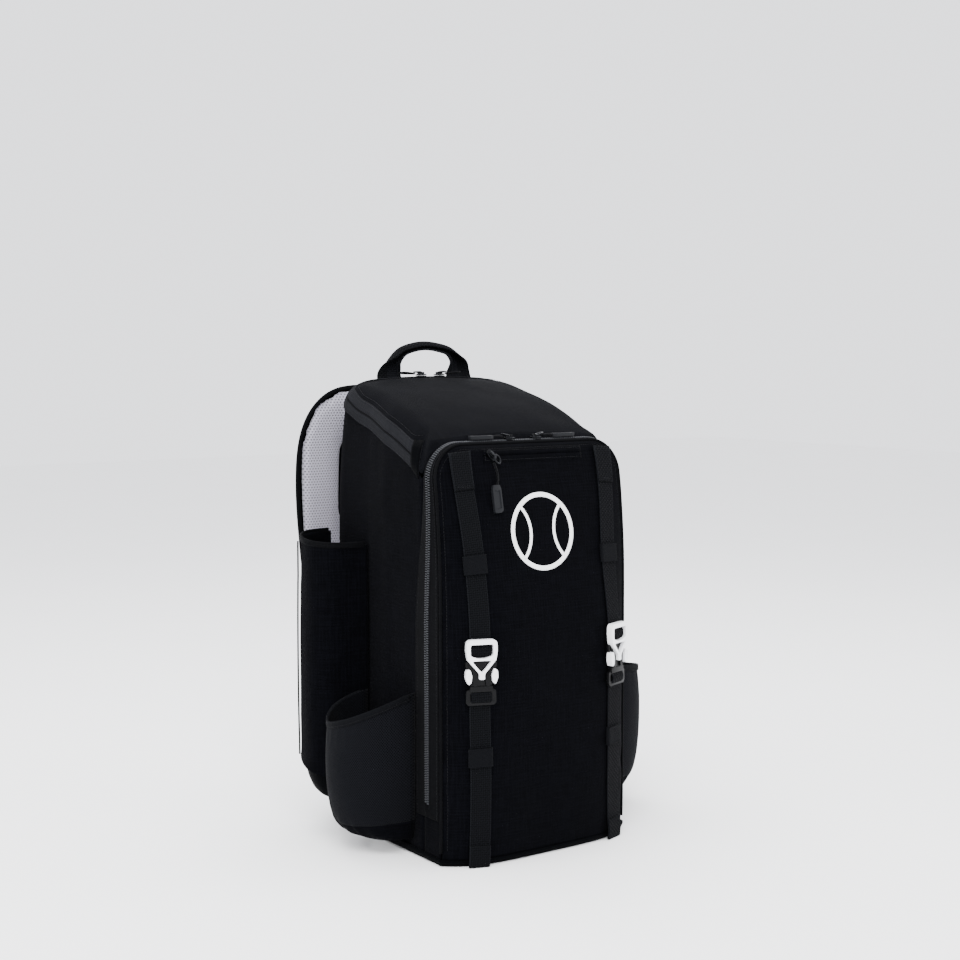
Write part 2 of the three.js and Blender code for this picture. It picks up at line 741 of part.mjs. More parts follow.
function keeper(side, height) {
  const width = webbingWidth + 2 * gap + 2 * keeperWall;
  const front = strapHigh + gap + keeperWall;
  const section = [
    [-width / 2, strapLow - gap / 2],
    [-width / 2, front],
    [width / 2, front],
    [width / 2, strapLow - gap / 2],
    [width / 2 - keeperWall, strapLow - gap / 2],
    [width / 2 - keeperWall, front - keeperWall],
    [-width / 2 + keeperWall, front - keeperWall],
    [-width / 2 + keeperWall, strapLow - gap / 2],
  ];
  const places = [-0.5, 0.5].map((share) => {
    const z = height + share * keeperWidth;
    return onPanel(strapX(side, z), z, 0);
  });
  return sweep(framesAlong(places.map((p) => p.at), (index) => places[index].out), section);
}

function path(points) {
  const shape = new THREE.Path();
  points.forEach(([x, y], index) => (index ? shape.lineTo(x, y) : shape.moveTo(x, y)));
  shape.closePath();
  return shape;
}

// Both halves of an outline, from the points of its right half.
const mirrored = (right) => [...right, ...right.map(([x, y]) => [-x, y]).reverse()];

function plate(outline, holes, thickness) {
  const shape = new THREE.Shape(outline.map(([x, y]) => new THREE.Vector2(x, y)));
  shape.holes.push(...holes.map(path));
  return new THREE.ExtrudeGeometry(shape, { depth: thickness, bevelEnabled: false });
}

const slot = (width, middle, height) => [
  [-width / 2, middle - height / 2],
  [width / 2, middle - height / 2],
  [width / 2, middle + height / 2],
  [-width / 2, middle + height / 2],
];

// Buckle halves in their own plane: x across, y up, from the buckle's middle.
const buckleHalf = buckleWidth / 2;
const buckleTop = buckleLength / 2;
const frameFoot = buckleTop - buckleFrame;
const stemFoot = buckleTop - buckleReach;

function buckleSocket() {
  const outline = mirrored([
    [buckleHalf - buckleCorner, buckleTop],
    [buckleHalf, buckleTop - buckleCorner],
    [buckleHalf, frameFoot],
    [buckleHalf * 0.6, frameFoot - buckleCorner / 2],
    [buckleStem / 2, stemFoot + buckleCorner],
    [buckleStem / 2, stemFoot],
  ]);
  const hole = slot(webbingWidth + 2 * gap, buckleTop - buckleBar - buckleSlot / 2, buckleSlot);
  return plate(outline, [hole], buckleThickness);
}

function bucklePlug() {
  const side = buckleHalf - gap;
  const notch = buckleStem / 2 + 2 * gap;
  const seat = buckleTop - buckleSeat;
  const foot = buckleHalf * 0.92;
  const arms = mirrored([
    [buckleHalf * 0.6 + 3 * gap, frameFoot - buckleCorner / 2 - 3 * gap],
    [side, frameFoot - 4 * gap],
    [side, seat + buckleCorner],
    [foot, seat],
    [foot, -buckleTop + buckleCorner / 2],
    [foot - buckleCorner / 2, -buckleTop],
  ]);
  const outline = [
    ...arms,
    [-notch, stemFoot + buckleCorner],
    [-notch, stemFoot - 2 * gap],
    [notch, stemFoot - 2 * gap],
    [notch, stemFoot + buckleCorner],
  ];
  const height = buckleSlot * 0.7;
  const hole = slot(webbingWidth + 2 * gap, -buckleTop + buckleCorner + height / 2, height);
  return plate(outline, [hole], buckleThickness);
}

// Puts a flat piece, drawn as x across and y up, on the front panel.
function mountOnPanel(mesh, x, height, lift) {
  const { at, out } = onPanel(x, height, lift);
  const across = v3(0, 0, 0).crossVectors(UP, out).normalize();
  const upward = v3(0, 0, 0).crossVectors(out, across);
  mesh.setRotationFromMatrix(new THREE.Matrix4().makeBasis(across, upward, out));
  mesh.position.copy(at);
}

// Bottle pocket: plan of the outside at a size, from its front seam round to its back seam.
function pocketPlan(depth, size, offset) {
  const half = bottlePocketLength / 2;
  const wallX = Math.max(frontWidth, backWidth) / 2 + gap;
  return range(15).map((index) => {
    const angle = (index / 14) * Math.PI;
    const out = Math.sin(angle) ** 0.8;
    const along = -Math.cos(angle);
    return {
      x: wallX + offset + Math.max(0, depth * size * out - 2 * offset),
      y: half - bottlePocketFront + along * (half - offset) * mix(1, size, 0.25),
      round: index / 14,
    };
  });
}

const rimHeight = (round, dip) => bottlePocketRim - dip * read(rimProfile, 'round', 'dip', round);

function bottlePocket(side, depth, dip) {
  const surface = (inset) => pocketRows.map((row) => {
    const outside = pocketPlan(depth, row.size, inset);
    const inside = [...range(5)].reverse().map((index) => {
      const first = outside[0];
      const last = outside[outside.length - 1];
      const share = (index + 0.5) / 5;
      return { x: first.x, y: mix(first.y, last.y, share), round: share };
    });
    return [...outside, ...inside].map((p) => {
      const foot = bottlePocketBottom + (row.height === 0 ? inset : 0);
      const height = mix(foot, rimHeight(p.round, dip), row.height);
      return v3(side * p.x, p.y, height);
    });
  });
  return clothWall(surface(0), surface(bottlePocketWall), { floor: true });
}

function bottlePocketRimTape(side, depth, dip) {
  const size = pocketRows[pocketRows.length - 1].size;
  const band = (lift) => [1, 0].map((down) => pocketPlan(depth, size, -lift)
    .slice(1, -1)
    .map((p) => v3(side * p.x, p.y, rimHeight(p.round, dip) - down * rimTapeWidth + 1)));
  return clothWall(band(3 * gap + keeperWall), band(3 * gap), { ring: false });
}

// Bat sleeve: its closed plan at a size, outside first and then along the side wall.
function sleeveRing(size, inset) {
  const wallX = backWidth / 2 + gap;
  const outside = range(17).map((index) => {
    const share = index / 16;
    const rows = sleevePlan.map((row, order) => ({ ...row, at: order / (sleevePlan.length - 1) }));
    return { out: read(rows, 'at', 'out', share), along: read(rows, 'at', 'along', share) };
  });
  const inside = [0.8, 0.6, 0.4, 0.2].map((along) => ({ out: 0, along }));
  const middle = sleeveFront + sleeveLength / 2;
  const half = sleeveLength / 2 - inset;
  return [...outside, ...inside].map(({ out, along }) => ({
    x: wallX + inset + Math.max(0, out * (sleeveDepth * size - 2 * inset)),
    y: middle + (along * 2 - 1) * half * mix(1, size, 0.5),
  }));
}

function batSleeve(side) {
  const surface = (inset) => sleeveRows.map((row) => sleeveRing(row.size, inset).map(({ x, y }) => {
    const slope = clamp((y - sleeveFront) / sleeveLength, 0, 1);
    const foot = sleeveBottom + sleeveBottomRise * slope + (row.height === 0 ? inset : 0);
    const top = sleeveTop + 0.3 * sleeveBottomRise * slope;
    return v3(side * x, y, mix(foot, top, row.height));
  }));
  return clothWall(surface(0), surface(sleeveWall), { floor: true });
}

function sleeveBinding(side) {
  const rows = range(9).map((index) => mix(0.05, 0.985, index / 8));
  const frames = rows.map((share) => {
    const size = read(sleeveRows, 'height', 'size', share);
    const ring = sleeveRing(size, 0);
    const [a, b] = [ring[12], ring[14]];
    const slope = (ring[13].y - sleeveFront) / sleeveLength;
    const foot = sleeveBottom + sleeveBottomRise * slope;
    const top = sleeveTop + 0.3 * sleeveBottomRise * slope;
    const across = v3(side * (b.x - a.x), b.y - a.y, 0).normalize();
    const out = v3(across.y * side, -across.x * side, 0);
    const at = v3(side * ring[13].x, ring[13].y, mix(foot, top, share)).addScaledVector(out, 2 * gap);
    return { at, across, out };
  });
  return sweep(frames, rectangle(bindingWidth, 0, bindingThickness));
}

function backPanel() {
  const shares = [0, 0.015, 0.06, 0.5, 0.76, 0.8, 0.84, 0.88, 0.92, 0.955, 0.985, 1];
  const frames = shares.map((share) => {
    const height = mix(backPanelFoot, backPanelTop, share);
    const edge = smooth(0, 0.06, Math.min(share, 1 - share));
    return {
      at: v3(0, backDepth(height) + 2 * gap, height),
      across: v3(-1, 0, 0),
      out: v3(0, 1, 0),
      wide: mix(0.94, 1, edge),
      thick: mix(0.35, 1, edge),
    };
  });
  return sweep(frames, padSection(backPanelWidth, backPanelThickness));
}

// Middle line of a shoulder pad, on its side towards the back.
function shoulderLine(side) {
  const start = backDepth(shoulderTop - (shoulderWidth * shoulderPath[0].wide) / 2) + 2 * gap;
  return shoulderPath.map((row) => {
    const height = mix(shoulderTop, shoulderFoot, row.drop);
    const rest = row.drop > 0 ? backDepth(height) + backPanelThickness + 2 * gap : start;
    const bowed = backWall + backPanelThickness + shoulderBow;
    return v3((side * row.across * backWidth) / 2, mix(rest, bowed, row.bow), height);
  });
}

// Thickness of the pads at their ends, as a share.
const padEnd = 0.75;

function shoulderStrap(side) {
  const line = shoulderLine(side);
  const curve = new THREE.CatmullRomCurve3(line, false, 'centripetal');
  const count = 18;
  const points = range(count + 1).map((index) => curve.getPoint(index / count));
  const frames = framesAlong(points, () => v3(0, 1, 0), (index) => {
    const at = (index / count) * (shoulderPath.length - 1);
    const row = Math.min(shoulderPath.length - 2, Math.floor(at));
    return {
      wide: mix(shoulderPath[row].wide, shoulderPath[row + 1].wide, at - row),
      thick: mix(padEnd, 1, smooth(0, 3, Math.min(index, count - index))),
    };
  });
  return sweep(frames, padSection(shoulderWidth, shoulderThickness));
}

function lowerStrap(side) {
  const line = shoulderLine(side);
  const end = line[line.length - 1];
  const rest = backWall + 1.5 * gap;
  const footX = side * (backPanelWidth / 2 + lowerWebbingWidth / 2 + 2 * gap);
  const points = [
    end.clone().add(v3(0, shoulderThickness + 2 * gap, lowerLap)),
    end.clone().add(v3(0, shoulderThickness * padEnd + 2 * gap, 0)),
    v3(mix(end.x, footX, 0.5), mix(end.y + webbingThickness, rest, 0.5), mix(end.z, lowerFoot, 0.5)),
    v3(footX, rest, lowerFoot),
  ];
  const curve = new THREE.CatmullRomCurve3(points, false, 'centripetal');
  const places = range(9).map((index) => curve.getPoint(index / 8));
  return sweep(framesAlong(places, () => v3(0, 1, 0)), rectangle(lowerWebbingWidth, 0, webbingThickness));
}

function adjuster(side) {
  const line = shoulderLine(side);
  const end = line[line.length - 1];
  const outline = slot(lowerWebbingWidth + 2 * adjusterRim, 0, adjusterLength);
  const width = lowerWebbingWidth + 2 * gap;
  const holes = [-1, 1].map((hand) => slot(width, hand * adjusterSlot * 1.1, adjusterSlot));
  const lift = shoulderThickness * 0.9 + 4 * gap + webbingThickness;
  return {
    geometry: plate(outline, holes, adjusterThickness),
    at: end.clone().add(v3(0, lift, adjusterRise)),
  };
}

function handleFrames() {
  // Height of the lid's back shoulder behind the zip, where the handle's feet stand.
  const base = lidBackHeight - lidShoulder;
  const middle = (backWall - backLean - frontWall) / 2;
  const shrink = (handleBack - middle) / (backDepth(base) - middle);
  const turn = Math.acos(clamp(1 - ((1 - shrink) * frontWidth) / 2 / lidShoulderRound, 0, 1));
  const crown = lidCrown * (handleSpan / frontWidth) ** 2;
  const foot = base + lidShoulder * Math.sin(turn) - crown - 18 * gap;
  const rise = handleTop - foot;
  const points = handlePath.map((row) => v3((row.across * handleSpan) / 2, handleBack, foot + rise * row.rise));
  const last = points.length - 1;
  return handlePath.map((row, index) => {
    const along = points[Math.min(last, index + 1)].clone().sub(points[Math.max(0, index - 1)]).normalize();
    const out = v3(0, 1, 0);
    return { at: points[index], across: v3(along.z, 0, -along.x), out, wide: row.wide, thick: row.thick };
  });
}

// Ball outline: a ring with its two seams, as one flat piece bent to the panel.
function ballPrint() {
  const radius = ballDiameter / 2;
  const inner = radius - ballLine;
  const seamRadius = radius * 0.95;
  const seamOffset = radius * 1.32;
  const shape = new THREE.Shape();
  shape.absarc(0, 0, radius, 0, 2 * Math.PI);
  const cross = (r) => {
    const x = (inner ** 2 - r ** 2 + seamOffset ** 2) / (2 * seamOffset);
    return { x, y: Math.sqrt(inner ** 2 - x ** 2) };
  };
  const arc = (cx, cy, r, from, to, steps) => range(steps + 1).map((index) => {
    const angle = mix(from, to, index / steps);
    return [cx + r * Math.cos(angle), cy + r * Math.sin(angle)];
  });
  const thin = seamRadius - ballLine * 0.35;
  const thick = seamRadius + ballLine * 0.35;
  [1, -1].forEach((side) => {
    const edge = cross(thin);
    const turn = Math.atan2(edge.y, seamOffset - edge.x);
    const outerTurn = Math.atan2(edge.y, edge.x);
    const lens = [
      ...arc(seamOffset, 0, thin, Math.PI - turn, Math.PI + turn, 12),
      ...arc(0, 0, inner, -outerTurn, outerTurn, 14).slice(1, -1),
    ];
    shape.holes.push(path(lens.map(([x, y]) => [side * x, y])));
  });
  const edge = cross(thick);
  const turn = Math.atan2(edge.y, seamOffset - edge.x);
  const outerTurn = Math.atan2(edge.y, edge.x);
  shape.holes.push(path([
    ...arc(seamOffset, 0, thick, Math.PI - turn, Math.PI + turn, 12).reverse(),
    ...arc(0, 0, inner, outerTurn, Math.PI - outerTurn, 12).slice(1, -1),
    ...arc(-seamOffset, 0, thick, turn, -turn, 12),
    ...arc(0, 0, inner, Math.PI + outerTurn, 2 * Math.PI - outerTurn, 12).slice(1, -1),
  ]));
  const geometry = new THREE.ExtrudeGeometry(shape, { depth: ballThickness, bevelEnabled: false, curveSegments: 20 });
  const position = geometry.getAttribute('position');
  for (let index = 0; index < position.count; index += 1) {
    const x = position.getX(index);
    const height = pocketZipHeight - ballDrop + position.getY(index);
    const depth = -panelFace(x, height) - 2 * gap - position.getZ(index);
    position.setXYZ(index, x, depth, height);
  }
  return geometry;
}

const COLOURS = {
  cloth: { color: 0x16171b, roughness: 0.9 },
  lidCloth: { color: 0x1c1d21, roughness: 0.88 },
  base: { color: 0x0f1013, roughness: 0.85 },
  mesh: { color: 0x1a1b1f, roughness: 0.95 },
  tape: { color: 0x2b2c31, roughness: 0.8 },
  coil: { color: 0x3a3b40, roughness: 0.5 },
  webbing: { color: 0x1b1c20, roughness: 0.8 },
  airMesh: { color: 0xb9b9c2, roughness: 0.95 },
  white: { color: 0xe9e9ec, roughness: 0.35 },
  plastic: { color: 0x121316, roughness: 0.4 },
  metal: { color: 0x6c6d72, roughness: 0.35, metalness: 0.9 },
  grip: { color: 0x4a4b50, roughness: 0.6 },
  print: { color: 0xf1f1f3, roughness: 0.6 },
};

const bag = new THREE.Group();
bag.name = 'bat_backpack';

function add(name, geometry, look) {
  const mesh = new THREE.Mesh(geometry, new THREE.MeshStandardMaterial({ metalness: 0, ...COLOURS[look] }));
  mesh.name = name;
  bag.add(mesh);
  return mesh;
}

const SIDES = [
  { word: 'left', side: -1, pocketDepth: bottlePocketDepth, pocketDip: bottlePocketDip },
  { word: 'right', side: 1, pocketDepth: fullPocketDepth, pocketDip: fullPocketDip },
];

add('main_compartment', mainCompartment(), 'cloth');
add('base_panel', basePanel(), 'base');
add('back_panel', backPanel(), 'airMesh');
add('lid', lid(), 'lidCloth');
add('front_gusset', frontGusset(), 'cloth');
add('front_panel', frontPanel(), 'cloth');
add('panel_piping', panelPiping(), 'tape');
add('front_zip_tape', frontZipTape(), 'tape');
add('front_zip_coil', frontZipCoil(), 'coil');
const lidTape = lidZipTape();
add('lid_zip_tape', lidTape.geometry, 'tape');
add('lid_zip_coil', lidZipCoil(lidTape), 'coil');
add('ball_print', ballPrint(), 'print');

// Small zip pocket across the top of the front panel.
const pocketZipXs = range(9).map((index) => mix(-0.5, 0.5, index / 8) * pocketZipLength);
const pocketZipPlaces = pocketZipXs.map((x) => onPanel(x, pocketZipHeight, gap));
add('pocket_zip', sweep(
  framesAlong(pocketZipPlaces.map((place) => place.at), (index) => pocketZipPlaces[index].out),
  rectangle(pocketZipWidth, gap, gap + coilHeight),
), 'tape');
const pocketSliderX = -pocketZipLength / 2 + sliderLength * 0.7;
const pocketSlider = add('pocket_slider', sliderBody(sliderLength, sliderWidth, sliderHeight), 'metal');
const pocketSliderLift = 3 * gap + coilHeight;
mountOnPanel(pocketSlider, pocketSliderX, pocketZipHeight, pocketSliderLift);

function hangingCord(x, from, to, lift) {
  const places = range(5).map((index) => onPanel(x, mix(from, to, index / 4), lift));
  return sweep(framesAlong(places.map((place) => place.at), (index) => places[index].out), circle(cordRadius, 6));
}
const cordTop = pocketZipHeight - pocketZipWidth / 2 - gap;
const cordFoot = cordTop - pocketCordLength;
add('pocket_cord', hangingCord(pocketSliderX, cordTop, cordFoot, cordRadius + 2 * gap), 'webbing');
const gripMiddle = cordTop - pocketCordLength - gap - gripLength / 2;
const pocketGrip = add('pocket_grip', sliderBody(gripLength, gripWidth, gripThickness), 'grip');
mountOnPanel(pocketGrip, pocketSliderX, gripMiddle, 2 * gap);
pocketGrip.rotateZ(Math.PI / 2);

// Front zip sliders at the top middle, their cords and grips lying outward along the zip.
const zipTopY = -mix(tapeBack(1), tapeFront(panelHeight), 0.52);
const zipTopZ = panelHeight + 3 * gap + tapeThickness + coilHeight;
SIDES.forEach(({ word, side }) => {
  const slider = add(`front_slider_${word}`, sliderBody(sliderLength, sliderWidth, sliderHeight), 'metal');
  const sliderX = (side * frontSliderSpacing) / 2;
  slider.position.set(sliderX, zipTopY, zipTopZ);
  const cordX = sliderX + side * (sliderLength / 2 + gap);
  const ends = [0, side * frontCordLength].map((on) => v3(cordX + on, zipTopY, zipTopZ + cordRadius));
  add(`front_cord_${word}`, sweep(framesAlong(ends, () => UP), circle(cordRadius, 6)), 'webbing');
  const grip = add(`front_grip_${word}`, sliderBody(gripLength, gripWidth * 0.7, gripThickness), 'grip');
  grip.position.set(cordX + side * (frontCordLength + gap + gripLength / 2), zipTopY, zipTopZ);
});

// Lid zip sliders at the back middle, with a cord loop each.
const backPlace = mainPlan.reduce((best, place) => (
  place.y > 0 && Math.abs(place.x) < Math.abs(best.x) ? place : best), { x: backWidth, y: 0 });
const lidZipBack = lidTape.place(backPlace, 0, 6 * gap + tapeThickness + coilHeight);
SIDES.forEach(({ word, side }) => {
  const slider = add(`lid_slider_${word}`, sliderBody(sliderLength, sliderWidth, sliderHeight), 'metal');
  const sliderX = (side * lidSliderSpacing) / 2;
  slider.position.set(sliderX, lidZipBack.y, lidZipBack.z);
  const start = sliderX + side * (sliderLength / 2 + gap);
  const ends = [0, 0.5, 1].map((share) => (
    v3(start + side * lidCordLength * share, lidZipBack.y, lidZipBack.z + cordRadius)));
  add(`lid_pull_${word}`, sweep(framesAlong(ends, () => UP), circle(cordRadius, 6)), 'webbing');
});

SIDES.forEach(({ word, side, pocketDepth, pocketDip }) => {
  add(`bottle_pocket_${word}`, bottlePocket(side, pocketDepth, pocketDip), 'mesh');
  add(`bottle_pocket_rim_${word}`, bottlePocketRimTape(side, pocketDepth, pocketDip), 'tape');
  add(`bat_sleeve_${word}`, batSleeve(side), 'cloth');
  add(`bat_sleeve_binding_${word}`, sleeveBinding(side), 'tape');

  const upper = panelStrip(side, strapTop, buckleHeight + buckleGap / 2, webbingWidth, strapLow, strapHigh, 10);
  add(`strap_upper_${word}`, upper, 'webbing');
  const lower = panelStrip(side, buckleHeight - buckleGap / 2, gap, webbingWidth, strapLow, strapHigh, 12);
  add(`strap_lower_${word}`, lower, 'webbing');
  add(`upper_keeper_${word}`, keeper(side, upperKeeperHeight), 'webbing');
  add(`lower_keeper_${word}`, keeper(side, lowerKeeperHeight), 'webbing');
  const socket = add(`buckle_socket_${word}`, buckleSocket(), 'white');
  mountOnPanel(socket, strapX(side, buckleHeight), buckleHeight, strapHigh + 1.5 * gap);
  const plug = add(`buckle_plug_${word}`, bucklePlug(), 'plastic');
  mountOnPanel(plug, strapX(side, buckleHeight), buckleHeight, strapHigh + 1.5 * gap);

  add(`shoulder_strap_${word}`, shoulderStrap(side), 'airMesh');
  add(`lower_strap_${word}`, lowerStrap(side), 'webbing');
  const ladder = adjuster(side);
  const frame = add(`adjuster_${word}`, ladder.geometry, 'plastic');
  frame.rotation.set(-Math.PI / 2, 0, 0);
  frame.position.copy(ladder.at);
});

add('top_handle', sweep(handleFrames(), rectangle(handleWidth, 0, handleThickness)), 'webbing');

export default bag;
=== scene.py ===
import math

import bmesh
import bpy
import numpy as np
from mathutils import Matrix, Vector


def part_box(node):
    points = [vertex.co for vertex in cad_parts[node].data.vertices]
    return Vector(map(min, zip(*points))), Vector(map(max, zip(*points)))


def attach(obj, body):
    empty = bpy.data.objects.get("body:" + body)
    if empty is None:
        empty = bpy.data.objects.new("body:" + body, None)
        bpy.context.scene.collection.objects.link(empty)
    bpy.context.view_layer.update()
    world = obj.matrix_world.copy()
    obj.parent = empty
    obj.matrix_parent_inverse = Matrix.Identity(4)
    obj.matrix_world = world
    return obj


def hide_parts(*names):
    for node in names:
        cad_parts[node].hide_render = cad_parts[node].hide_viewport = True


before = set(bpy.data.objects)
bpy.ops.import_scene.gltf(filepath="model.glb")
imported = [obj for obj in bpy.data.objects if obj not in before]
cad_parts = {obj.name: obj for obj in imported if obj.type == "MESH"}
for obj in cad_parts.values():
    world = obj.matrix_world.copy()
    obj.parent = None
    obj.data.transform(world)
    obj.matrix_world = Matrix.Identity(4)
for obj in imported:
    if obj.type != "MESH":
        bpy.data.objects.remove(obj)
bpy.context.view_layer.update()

bl_info = {
    "name": "Bat backpack",
    "version": (1, 0, 0),
    "blender": (4, 5, 0),
    "location": "View3D > Sidebar > Backpack",
    "description": "Sews a baseball bat backpack round its packed frame",
    "category": "Object",
}

MM = 0.001
SIDES = (("left", -1), ("right", 1))

FRONT_CORNER = 8 * MM
BACK_CORNER = 34 * MM
WALL_FOOT = 3.4 * MM
SIDE_STEP = 44 * MM
SHOULDER_ROUND = 27 * MM
FRONT_ROUND = 8 * MM
CORNER_DROP = 15 * MM
LID_CROWN = 7 * MM
SEAM_SIDE, SEAM_BACK = 0.1, 0.93
PANEL_INSET = 1.6 * MM
PANEL_ROLL = 9 * MM
BALL_HEIGHT = 0.353
BALL_LINE = 5 * MM
POCKET_ZIP_HEIGHT = 436 * MM
POCKET_ZIP_LENGTH = 134 * MM
UPPER_KEEPER, LOWER_KEEPER = 0.323, 0.119
STRAP_TOP = 0.434
STRAP_FLARE = 6 * MM
WEBBING_TOP = 0.440
WEBBING_THICKNESS = 1.7 * MM
POCKET_FRONT = 61 * MM
POCKET_FOOT = 18 * MM
SHALLOW_DIP, DEEP_DIP = 16 * MM, 34 * MM
SLEEVE_FOOT = 36 * MM
SLEEVE_FOOT_RISE = 28 * MM
SLEEVE_TOP_RISE = 8.4 * MM
SHOULDER_TOP, SHOULDER_FOOT = 0.476, 0.168
SHOULDER_WIDTH = 60 * MM
LOWER_WEBBING = 25 * MM
LOWER_FOOT = 56 * MM
BACK_PAD_FOOT, BACK_PAD_TOP = 34 * MM, 446 * MM
BACK_PAD_WIDTH = 174 * MM
PAD_THICKNESS = 10 * MM
PAD_VOXEL = 5 * MM
PAD_PRESSURE = 4.0
PAD_FRAMES = 20
PAD_CHANNELS = (0.16, 0.30, 0.41)


# Numbers and tables

def mix(a, b, share):
    return a + (b - a) * share


def smooth(low, high, value):
    share = np.clip((np.asarray(value, float) - low) / (high - low), 0, 1)
    return share * share * (3 - 2 * share)


def bump(distance, width):
    return np.exp(-(np.asarray(distance) / width) ** 2)


def curve(*rows):
    """Smooth reading of the second column of a table by its first."""
    xs, ys = np.array(rows, float).T
    slope = np.zeros(len(xs))
    slope[1:-1] = (ys[2:] - ys[:-2]) / (xs[2:] - xs[:-2])
    slope[0] = (ys[1] - ys[0]) / (xs[1] - xs[0])
    slope[-1] = (ys[-1] - ys[-2]) / (xs[-1] - xs[-2])
    at = np.linspace(xs[0], xs[-1], 800)
    row = np.clip(np.searchsorted(xs, at) - 1, 0, len(xs) - 2)
    step = xs[row + 1] - xs[row]
    t = (at - xs[row]) / step
    value = mix(ys[row], ys[row + 1], t * t * (3 - 2 * t))
    value = value + t * (1 - t) ** 2 * step * slope[row] + t * t * (t - 1) * step * slope[row + 1]
    return lambda x: np.interp(x, at, value)


def lumps(points, size, seed=0):
    """Smooth noise between -1 and 1 over points, in lumps of a size."""
    place = np.asarray(points, float) / size + seed * 7.31 + 40
    cell = np.floor(place).astype(np.int64)
    part = place - cell
    part = part * part * (3 - 2 * part)
    total = 0
    for corner in range(8):
        step = np.array([corner & 1, corner >> 1 & 1, corner >> 2 & 1])
        at = cell + step
        mixed = at[..., 0] * 73856093 ^ at[..., 1] * 19349663 ^ at[..., 2] * 83492791
        mixed = (mixed * 2654435761) & 0xFFFFFFFF
        mixed = (mixed ^ mixed >> 15) * 2246822519 & 0xFFFFFFFF
        share = np.where(step, part, 1 - part).prod(axis=-1)
        total = total + share * ((mixed >> 8 & 0xFFFF) / 32767.5 - 1)
    return total


def unit(vectors):
    length = np.linalg.norm(vectors, axis=-1, keepdims=True)
    return vectors / np.maximum(length, 1e-12)


# Forms shared by the bag's pieces

LID_RISE = curve((0, 0), (0.09, 0.18), (0.17, 0.31), (0.3, 0.49), (0.46, 0.66),
                 (0.65, 0.83), (0.85, 0.97), (1, 1))
BACK_LEAN = curve((0, 0), (0.72, 0), (0.83, 0.28), (0.92, 0.62), (1, 1))
MIDDLE_LEAN = curve((0, 0.1), (0.08, 0), (0.45, 0), (0.56, 0.05), (0.72, 0.33), (0.86, 0.6),
                    (0.94, 0.82), (1, 1))
EDGE_LEAN = curve((0, 0.04), (0.08, 0), (0.45, 0), (0.56, 0.01), (0.72, 0.08), (0.86, 0.4),
                  (0.94, 0.72), (1, 1))
RIM_DIP = curve((0, 0), (0.18, 0.4), (0.4, 0.82), (0.6, 1), (0.8, 0.72), (1, 0.4))
POCKET_SIZE = curve((0, 0.56), (0.05, 0.74), (0.16, 0.9), (0.38, 0.99), (0.7, 1), (1, 0.96))
SLEEVE_SIZE = curve((0, 0.84), (0.04, 0.93), (0.14, 0.98), (0.45, 1), (0.8, 0.99), (1, 0.96))
SLEEVE_OUT = curve((0, 0.02), (1, 0.34), (2, 0.7), (3, 0.94), (4, 1), (5, 0.95), (6, 0.8),
                   (7, 0.6), (8, 0.3), (9, 0.02))
SLEEVE_ALONG = curve((0, 0), (1, 0.01), (2, 0.08), (3, 0.24), (4, 0.42), (5, 0.62), (6, 0.81),
                     (7, 0.93), (8, 0.99), (9, 1))


def length_property(name, description, default):
    return bpy.props.FloatProperty(name=name, description=description, default=default, unit="LENGTH")


def colour_property(name, description, default):
    return bpy.props.FloatVectorProperty(
        name=name, description=description, subtype="COLOR", size=3, default=default)


class BackpackSizes(bpy.types.PropertyGroup):
    """Sizes of the bag, the same as the frame's."""

    front_width: length_property("Front width", "Across the bag at the front", 0.250)
    back_width: length_property("Back width", "Across the bag behind the pockets", 0.238)
    front_wall: length_property("Front wall", "Origin to the wall behind the front compartment", 0.078)
    back_wall: length_property("Back wall", "Origin to the back, low down", 0.135)
    back_lean: length_property("Back lean", "How far the back leans forward at the top", 0.020)
    lid_front: length_property("Lid front", "Height of the lid's front", 0.455)
    lid_back: length_property("Lid back", "Height of the lid's back", 0.517)
    shoulder: length_property("Lid shoulder", "Height of the rounded shoulders", 0.030)
    panel_height: length_property("Panel height", "Top of the front compartment", 0.449)
    panel_corner: length_property("Panel corner", "Radius of its top corners", 0.038)
    panel_edge: length_property("Panel edge", "Depth of its edge in front of the wall", 0.032)
    panel_bulge: length_property("Panel bulge", "How far its middle stands out", 0.030)
    panel_lean: length_property("Panel lean", "How far its middle leans back", 0.039)
    edge_lean: length_property("Edge lean", "How far its edge leans back", 0.016)
    pocket_depth: length_property("Bottle pocket depth", "Out from the side", 0.076)
    full_pocket_depth: length_property("Fuller pocket depth", "Out from the side on the right", 0.099)
    pocket_length: length_property("Bottle pocket length", "Along the side", 0.101)
    pocket_rim: length_property("Bottle pocket rim", "Height of the rim's front end", 0.180)
    sleeve_depth: length_property("Bat sleeve depth", "Out from the side", 0.064)
    sleeve_length: length_property("Bat sleeve length", "Along the side", 0.086)
    sleeve_top: length_property("Bat sleeve top", "Height of its mouth", 0.330)
    webbing: length_property("Webbing width", "Width of the front straps", 0.023)
    strap_inset: length_property("Strap inset", "Side of the front to each strap's middle", 0.0345)
    buckle_height: length_property("Buckle height", "Middle of the buckles", 0.211)
    handle_span: length_property("Handle span", "Between the middles of the handle's feet", 0.098)
    handle_top: length_property("Handle top", "Height of its arch", 0.554)
    handle_back: length_property("Handle back", "Origin to its middle", 0.1105)
    handle_width: length_property("Handle width", "Width of its feet", 0.034)
    ball: length_property("Ball size", "Diameter of the printed ball", 0.084)
    sag: length_property("Sag", "Depth of the soft hollows in the cloth", 0.0013)


